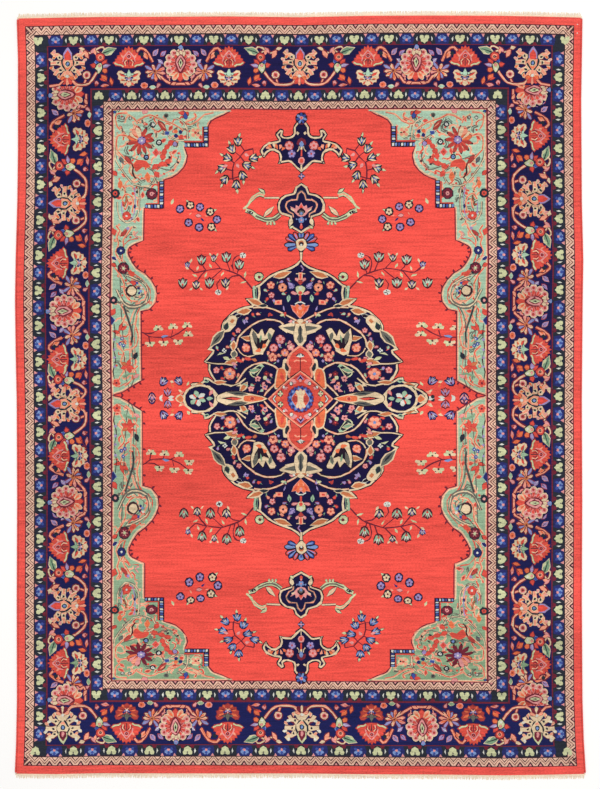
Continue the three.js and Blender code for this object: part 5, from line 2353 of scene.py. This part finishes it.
# The end web's steps along it, and its profile: how far out and how high, in its widths and thicknesses.
WEB_COLUMNS = 240
WEB_PROFILE = ((0.0, 0.0), (0.0, 1.0), (0.5, 0.92), (1.0, 0.8), (1.0, 0.0))
# A strand's steps along it, and its profile: across and up, in its half widths and heights.
STRAND_LEVELS = 3
STRAND_PROFILE = ((-1, 0.02), (1, 0.02), (0.6, 1.0), (-0.6, 1.0))
# In millimetres: a strand's height, how far it reaches into the web, how much longer or shorter it may be,
# and how far its tip may lean.
STRAND_HEIGHT = 1.9
STRAND_OVERLAP = 1.5
STRAND_LONGER = 2.4
STRAND_SHORTER = 3.2
STRAND_LEAN = 2.6
# Half of a strand's width, in distances between strands, and how much its width and height lose by the tip.
STRAND_THIN = 0.36
STRAND_THICK = 0.5
STRAND_TAPER = 0.35
STRAND_FLATTENING = 0.25
# In millimetres: how uneven the web's width is, and how far in from the corner the web and the fringe start.
WEB_UNEVEN = 0.5
WEB_INSET = 2.0
FRINGE_INSET = 4.0


def cord_route(sizes, loom, table, sign):
    """The middle line of a side cord, in metres."""
    start, end = table[0][0], table[-1][0]
    steps = round((end - start) * MM / sizes.wrap) * TURN_STEPS
    step = (end - start) / steps
    places = [start + step * index for index in range(steps + 1)]
    radius = sizes.cord / 2
    return [
        ((edge_at(table, place) + loom.side) * MM - sign * radius, (place + loom.lift) * MM)
        for place in places
    ]


def tube_faces(first, levels, sides):
    """The faces of a closed tube, whose rings of corners are numbered on from the first one."""
    faces = []
    for level in range(levels):
        base = first + level * sides
        ahead = base + sides
        for side in range(sides):
            following = (side + 1) % sides
            faces.append((base + side, base + following, ahead + following, ahead + side))
    last = first + levels * sides
    return [*faces, tuple(reversed(range(first, first + sides))), tuple(range(last, last + sides))]


def solid_mesh(name, verts, faces, turned):
    """A mesh of these corners and faces, all turned over if that brings their outside out."""
    mesh = bpy.data.meshes.new(name)
    mesh.from_pydata(verts, [], [tuple(reversed(face)) for face in faces] if turned else faces)
    mesh.validate()
    mesh.update()
    return mesh


def make_cord(context, name, table, sign, node):
    """A cord wound with wool: a tube with a raised ridge for each turn."""
    sizes = context.scene.rug_sizes
    chance = random.Random(CORD_SEEDS[sign])
    route = cord_route(sizes, Loom(sizes), table, sign)
    verts = []
    radius = sizes.cord / 2
    for index, (x, y) in enumerate(route):
        phase = index / TURN_STEPS
        end = min(index, len(route) - 1 - index)
        cap = min(1.0, CORD_TIP + end * CORD_TIP_GAIN)
        thick = radius * cap * (CORD_MEAN + chance.uniform(-CORD_UNEVEN, CORD_UNEVEN))
        for side in range(CORD_SIDES):
            angle = math.tau * side / CORD_SIDES
            ridge = CORD_GROOVE + CORD_RIDGE * math.cos(math.tau * (phase + side / CORD_SIDES))
            across, up = thick * ridge * math.cos(angle), thick * ridge * math.sin(angle)
            verts.append((x + across, y, radius + up))
    mesh = solid_mesh(name, verts, tube_faces(0, len(route) - 1, CORD_SIDES), True)
    mesh.polygons.foreach_set("use_smooth", [True] * len(mesh.polygons))
    piece = add_piece(context, name, mesh, cord_material(context))
    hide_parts(node)
    return piece


def beyond_edge(sizes, table, sign):
    """A function that places what lies beyond one end of the pile, in metres."""
    loom = Loom(sizes)
    gap = sizes.cord_gap / MM

    def spot(x, along, out, z):
        edge = edge_at(table, along) + loom.lift + sign * gap
        return (x + loom.side) * MM, (edge + sign * out) * MM, z

    return spot


def strand_corners(sizes, spot, place, pitch, chance):
    """The corners of one strand, which leans and thins toward its tip."""
    length = sizes.strand / MM + chance.uniform(-STRAND_SHORTER, STRAND_LONGER)
    lean = chance.uniform(-STRAND_LEAN, STRAND_LEAN)
    thick = pitch * chance.uniform(STRAND_THIN, STRAND_THICK)
    corners = []
    for level in range(STRAND_LEVELS + 1):
        share = level / STRAND_LEVELS
        width = thick * (1.0 - STRAND_TAPER * share)
        high = STRAND_HEIGHT * (1.0 - STRAND_FLATTENING * share)
        x = place + lean * share * share
        out = sizes.web / MM - STRAND_OVERLAP + length * share
        for across, up in STRAND_PROFILE:
            corners.append(spot(x + across * width, place, out, up * high * MM))
    return corners


def make_end(context, name, table, sign, node):
    """The cotton web at one end with its short, uneven fringe."""
    sizes = context.scene.rug_sizes
    chance = random.Random(END_SEEDS[sign])
    spot = beyond_edge(sizes, table, sign)
    start, end = table[0][0] + WEB_INSET, table[-1][0] - WEB_INSET
    verts = []
    for column in range(WEB_COLUMNS + 1):
        place = start + (end - start) * column / WEB_COLUMNS
        wear = chance.uniform(-WEB_UNEVEN, WEB_UNEVEN)
        for out, up in WEB_PROFILE:
            verts.append(spot(place, place, (sizes.web / MM + wear) * out, sizes.web_height * up))
    faces = tube_faces(0, WEB_COLUMNS, len(WEB_PROFILE))
    pitch = (end - start - 2 * FRINGE_INSET) / sizes.strands
    for strand in range(sizes.strands):
        place = start + FRINGE_INSET + pitch * (strand + 0.5)
        faces += tube_faces(len(verts), STRAND_LEVELS, len(STRAND_PROFILE))
        verts += strand_corners(sizes, spot, place, pitch, chance)
    mesh = solid_mesh(name, verts, faces, sign > 0)
    piece = add_piece(context, name, mesh, cotton_material())
    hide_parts(node)
    return piece


# Materials


def group_socket(group, name, kind, output=False, default=None):
    """Adds an input to a node group, or an output."""
    direction = "OUTPUT" if output else "INPUT"
    socket = group.interface.new_socket(name=name, in_out=direction, socket_type=kind)
    if default is not None:
        socket.default_value = default


def maths(nodes, links, operation, first, second=None, third=None):
    """One maths node, fed with sockets or numbers."""
    node = nodes.new("ShaderNodeMath")
    node.operation = operation
    for index, value in enumerate((first, second, third)):
        if value is None:
            continue
        if isinstance(value, (int, float)):
            node.inputs[index].default_value = value
        else:
            links.new(value, node.inputs[index])
    return node.outputs[0]


def stretched_noise(nodes, links, coordinate, scale, detail):
    """Noise whose grain is stretched by the three scales."""
    mapping = nodes.new("ShaderNodeMapping")
    mapping.inputs["Scale"].default_value = scale
    links.new(coordinate, mapping.inputs["Vector"])
    texture = nodes.new("ShaderNodeTexNoise")
    texture.inputs["Scale"].default_value = 1.0
    texture.inputs["Detail"].default_value = detail
    links.new(mapping.outputs["Vector"], texture.inputs["Vector"])
    return texture.outputs["Fac"]


def hand_dyeing_group():
    """Streaks and slow bands of uneven dye, which lie along the rows of knots."""
    name = "Hand dyeing"
    if name in bpy.data.node_groups:
        return bpy.data.node_groups[name]
    group = bpy.data.node_groups.new(name, "ShaderNodeTree")
    group_socket(group, "Dye", "NodeSocketColor")
    group_socket(group, "Streaks", "NodeSocketFloat", default=0.1)
    group_socket(group, "Bands", "NodeSocketFloat", default=0.06)
    group_socket(group, "Color", "NodeSocketColor", output=True)
    nodes, links = group.nodes, group.links
    entry = nodes.new("NodeGroupInput")
    end = nodes.new("NodeGroupOutput")
    place = nodes.new("ShaderNodeTexCoord").outputs["Object"]
    streak = stretched_noise(nodes, links, place, (7.0, 95.0, 1.0), 3.0)
    speckle = stretched_noise(nodes, links, place, (115.0, 205.0, 1.0), 1.0)
    abrash = stretched_noise(nodes, links, place, (0.35, 4.2, 1.0), 2.0)
    streak = maths(nodes, links, "SUBTRACT", streak, 0.95)
    mixed = maths(nodes, links, "MULTIPLY_ADD", speckle, 0.9, streak)
    fine = maths(nodes, links, "MULTIPLY", mixed, entry.outputs["Streaks"])
    slow = maths(nodes, links, "SUBTRACT", abrash, 0.5)
    broad = maths(nodes, links, "MULTIPLY", slow, entry.outputs["Bands"])
    change = maths(nodes, links, "ADD", fine, broad)
    value = maths(nodes, links, "ADD", maths(nodes, links, "MULTIPLY", change, 4.0), 1.0)
    tint = nodes.new("ShaderNodeHueSaturation")
    links.new(value, tint.inputs["Value"])
    links.new(entry.outputs["Dye"], tint.inputs["Color"])
    links.new(tint.outputs["Color"], end.inputs["Color"])
    return group


def knots_group():
    """The relief of the knots, in rows across the rug, with softer fibre between them."""
    name = "Knotted pile"
    if name in bpy.data.node_groups:
        return bpy.data.node_groups[name]
    group = bpy.data.node_groups.new(name, "ShaderNodeTree")
    group_socket(group, "Knot size", "NodeSocketFloat", default=2.2 * MM)
    group_socket(group, "Height", "NodeSocketFloat", output=True)
    nodes, links = group.nodes, group.links
    entry = nodes.new("NodeGroupInput")
    end = nodes.new("NodeGroupOutput")
    place = nodes.new("ShaderNodeTexCoord").outputs["Object"]
    split = nodes.new("ShaderNodeSeparateXYZ")
    links.new(place, split.inputs[0])
    turns = maths(nodes, links, "DIVIDE", math.tau, entry.outputs["Knot size"])
    rows = maths(nodes, links, "SINE", maths(nodes, links, "MULTIPLY", split.outputs["Y"], turns))
    columns = maths(nodes, links, "SINE", maths(nodes, links, "MULTIPLY", split.outputs["X"], turns))
    rows = maths(nodes, links, "MULTIPLY", rows, 0.5)
    knots = maths(nodes, links, "MULTIPLY_ADD", columns, 0.3, rows)
    fibre = stretched_noise(nodes, links, place, (420.0, 420.0, 420.0), 3.0)
    wear = stretched_noise(nodes, links, place, (9.0, 26.0, 1.0), 2.0)
    height = maths(nodes, links, "MULTIPLY_ADD", fibre, 1.6, knots)
    height = maths(nodes, links, "MULTIPLY_ADD", wear, 1.2, height)
    links.new(height, end.inputs["Height"])
    return group


def cloth_shader(name, roughness, sheen):
    """A matt cloth material and its shader."""
    material = bpy.data.materials.new(name)
    material.use_nodes = True
    shader = material.node_tree.nodes["Principled BSDF"]
    shader.inputs["Roughness"].default_value = roughness
    shader.inputs["Specular IOR Level"].default_value = 0.1
    shader.inputs["Sheen Weight"].default_value = sheen
    shader.inputs["Sheen Roughness"].default_value = 0.6
    return material, shader


def add_relief(material, shader, strength, distance):
    """Gives a material the knots' relief."""
    nodes, links = material.node_tree.nodes, material.node_tree.links
    relief = nodes.new("ShaderNodeGroup")
    relief.node_tree = knots_group()
    bump = nodes.new("ShaderNodeBump")
    bump.inputs["Strength"].default_value = strength
    bump.inputs["Distance"].default_value = distance
    links.new(relief.outputs["Height"], bump.inputs["Height"])
    links.new(bump.outputs["Normal"], shader.inputs["Normal"])


def add_dyeing(material, shader, colour, streaks, bands):
    """Gives a material its unevenly dyed colour, from a socket or as one fixed colour."""
    nodes, links = material.node_tree.nodes, material.node_tree.links
    dyeing = nodes.new("ShaderNodeGroup")
    dyeing.node_tree = hand_dyeing_group()
    dyeing.inputs["Streaks"].default_value = streaks
    dyeing.inputs["Bands"].default_value = bands
    if isinstance(colour, tuple):
        dyeing.inputs["Dye"].default_value = (*colour, 1.0)
    else:
        links.new(colour, dyeing.inputs["Dye"])
    links.new(dyeing.outputs["Color"], shader.inputs["Base Color"])


def wool_material():
    """The pile: each knot's dye from the mesh, with uneven dyeing and the relief of the knots."""
    material, shader = cloth_shader("Knotted wool", 0.95, 0.06)
    source = material.node_tree.nodes.new("ShaderNodeAttribute")
    source.attribute_name = "dye"
    add_dyeing(material, shader, source.outputs["Color"], 0.24, 0.16)
    add_relief(material, shader, 0.25, 0.4 * MM)
    return material


def cord_material(context):
    """The overcasting of the side cords, a little darker than the pile's edge."""
    name = "Overcast wool"
    if name in bpy.data.materials:
        return bpy.data.materials[name]
    material, shader = cloth_shader(name, 0.95, 0.06)
    red, green, blue = dye_colours(context)["edge_red"]
    add_dyeing(material, shader, (red * 0.9, green * 0.85, blue * 0.85), 0.12, 0.1)
    add_relief(material, shader, 0.3, 0.3 * MM)
    return material


def cotton_material():
    """Undyed cotton of the webs and fringes."""
    name = "Undyed cotton"
    if name in bpy.data.materials:
        return bpy.data.materials[name]
    material, shader = cloth_shader(name, 0.9, 0.04)
    add_dyeing(material, shader, (0.84, 0.7, 0.52), 0.14, 0.08)
    add_relief(material, shader, 0.2, 0.3 * MM)
    return material


# Studio

# How far the floor reaches, in metres, and how far it lies under the rug, in millimetres.
FLOOR_REACH = 12.0
FLOOR_DROP = 0.4
# The photo's height, and its middle from the chart's own middle, in chart squares.
PHOTO_HEIGHT = 789
PHOTO_MIDDLE_X = -0.35
PHOTO_MIDDLE_Y = 0.6


def make_floor(context):
    """The plain pale floor, a little under the rug."""
    mesh = bpy.data.meshes.new("floor")
    far = FLOOR_REACH
    verts = [(-far, -far, 0.0), (far, -far, 0.0), (far, far, 0.0), (-far, far, 0.0)]
    mesh.from_pydata(verts, [], [(0, 1, 2, 3)])
    floor = bpy.data.objects.new("floor", mesh)
    floor.location.z = -FLOOR_DROP * MM
    context.scene.collection.objects.link(floor)
    paint = bpy.data.materials.new("Pale floor")
    paint.use_nodes = True
    shader = paint.node_tree.nodes["Principled BSDF"]
    shader.inputs["Base Color"].default_value = (0.96, 0.955, 0.95, 1.0)
    shader.inputs["Roughness"].default_value = 0.9
    shader.inputs["Specular IOR Level"].default_value = 0.1
    mesh.materials.append(paint)
    floor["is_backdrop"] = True


def make_light(context):
    """Soft light from all round, and a wide lamp above."""
    world = bpy.data.worlds.new("Soft studio")
    world.use_nodes = True
    background = world.node_tree.nodes["Background"]
    background.inputs["Color"].default_value = (1.0, 0.995, 0.985, 1.0)
    background.inputs["Strength"].default_value = 0.62
    context.scene.world = world
    lamp = bpy.data.lights.new("Overhead", "AREA")
    lamp.shape = "RECTANGLE"
    lamp.size = 5.0
    lamp.size_y = 6.0
    lamp.energy = 210.0
    lamp.color = (1.0, 0.99, 0.97)
    overhead = bpy.data.objects.new("Overhead", lamp)
    overhead.location = (0.4, 0.3, 5.5)
    context.scene.collection.objects.link(overhead)


def make_camera(context):
    """The camera straight overhead, as far up as makes the photo's height fit."""
    sizes = context.scene.rug_sizes
    lens = bpy.data.cameras.new("Camera")
    lens.lens = 50.0
    lens.sensor_width = 36.0
    camera = bpy.data.objects.new("Camera", lens)
    context.scene.collection.objects.link(camera)
    distance = PHOTO_HEIGHT * sizes.square * lens.lens / lens.sensor_width
    loom = Loom(sizes)
    middle_x, middle_y = PHOTO_MIDDLE_X * sizes.square, PHOTO_MIDDLE_Y * sizes.square
    camera.location = (middle_x + loom.side * MM, middle_y + loom.lift * MM, distance + sizes.pile_height)
    context.scene.camera = camera
    context.scene.view_settings.view_transform = "Standard"


class RUG_OT_stage(bpy.types.Operator):
    """Add the pale floor, the soft light and the overhead camera"""

    bl_idname = "rug.stage"
    bl_label = "Stage"

    def execute(self, context):
        make_floor(context)
        make_light(context)
        make_camera(context)
        return {"FINISHED"}


class RUG_OT_pile(bpy.types.Operator):
    """Knot the pile with its whole pattern"""

    bl_idname = "rug.pile"
    bl_label = "Knotted pile"

    def execute(self, context):
        make_pile(context)
        return {"FINISHED"}


class RUG_OT_cords(bpy.types.Operator):
    """Wind the two side cords"""

    bl_idname = "rug.cords"
    bl_label = "Side cords"

    def execute(self, context):
        make_cord(context, "left_cord", LEFT_EDGE, -1, "selvedge_left")
        make_cord(context, "right_cord", RIGHT_EDGE, 1, "selvedge_right")
        return {"FINISHED"}


class RUG_OT_ends(bpy.types.Operator):
    """Weave the two end webs with their fringes"""

    bl_idname = "rug.ends"
    bl_label = "Fringed ends"

    def execute(self, context):
        make_end(context, "far_fringe", FAR_EDGE, 1, "fringe_far")
        make_end(context, "near_fringe", NEAR_EDGE, -1, "fringe_near")
        return {"FINISHED"}


class RUG_OT_declare(bpy.types.Operator):
    bl_idname = "rug.declare"
    bl_label = "Sheet"

    def execute(self, context):
        objects = context.scene.objects
        objects["knotted_pile"]
        objects["floor"]
        [objects[name] for name in ("left_cord", "right_cord", "far_fringe", "near_fringe")]
        return {"FINISHED"}


class RUG_PT_panel(bpy.types.Panel):
    """The rug's sizes, dyes and steps"""

    bl_idname = "RUG_PT_panel"
    bl_label = "Sarouk rug"
    bl_space_type = "VIEW_3D"
    bl_region_type = "UI"
    bl_category = "Rug"

    def draw(self, context):
        for step in STEPS:
            self.layout.operator(step.bl_idname)
        sizes = context.scene.rug_sizes
        for name in RugSizes.__annotations__:
            self.layout.prop(sizes, name)
        dyes = context.scene.rug_dyes
        for name in RugDyes.__annotations__:
            self.layout.prop(dyes, name)


STEPS = (RUG_OT_stage, RUG_OT_pile, RUG_OT_cords, RUG_OT_ends, RUG_OT_declare)
CLASSES = (RugDyes, RugSizes, *STEPS, RUG_PT_panel)


def register():
    """Adds the rug's settings, steps and panel."""
    for kind in CLASSES:
        bpy.utils.register_class(kind)
    bpy.types.Scene.rug_dyes = bpy.props.PointerProperty(type=RugDyes)
    bpy.types.Scene.rug_sizes = bpy.props.PointerProperty(type=RugSizes)


def unregister():
    """Takes them away again."""
    del bpy.types.Scene.rug_sizes
    del bpy.types.Scene.rug_dyes
    for kind in reversed(CLASSES):
        bpy.utils.unregister_class(kind)


def corners(box):
    """A box's two corners as plain lists."""
    return [list(corner) for corner in box]


def main():
    """Builds the rug step by step."""
    register()
    for step in STEPS:
        group, name = step.bl_idname.split(".")
        getattr(getattr(bpy.ops, group), name)()
    {"cad": corners(CAD_BOX), "visual": corners(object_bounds())}


if __name__ == "__main__":
    main()
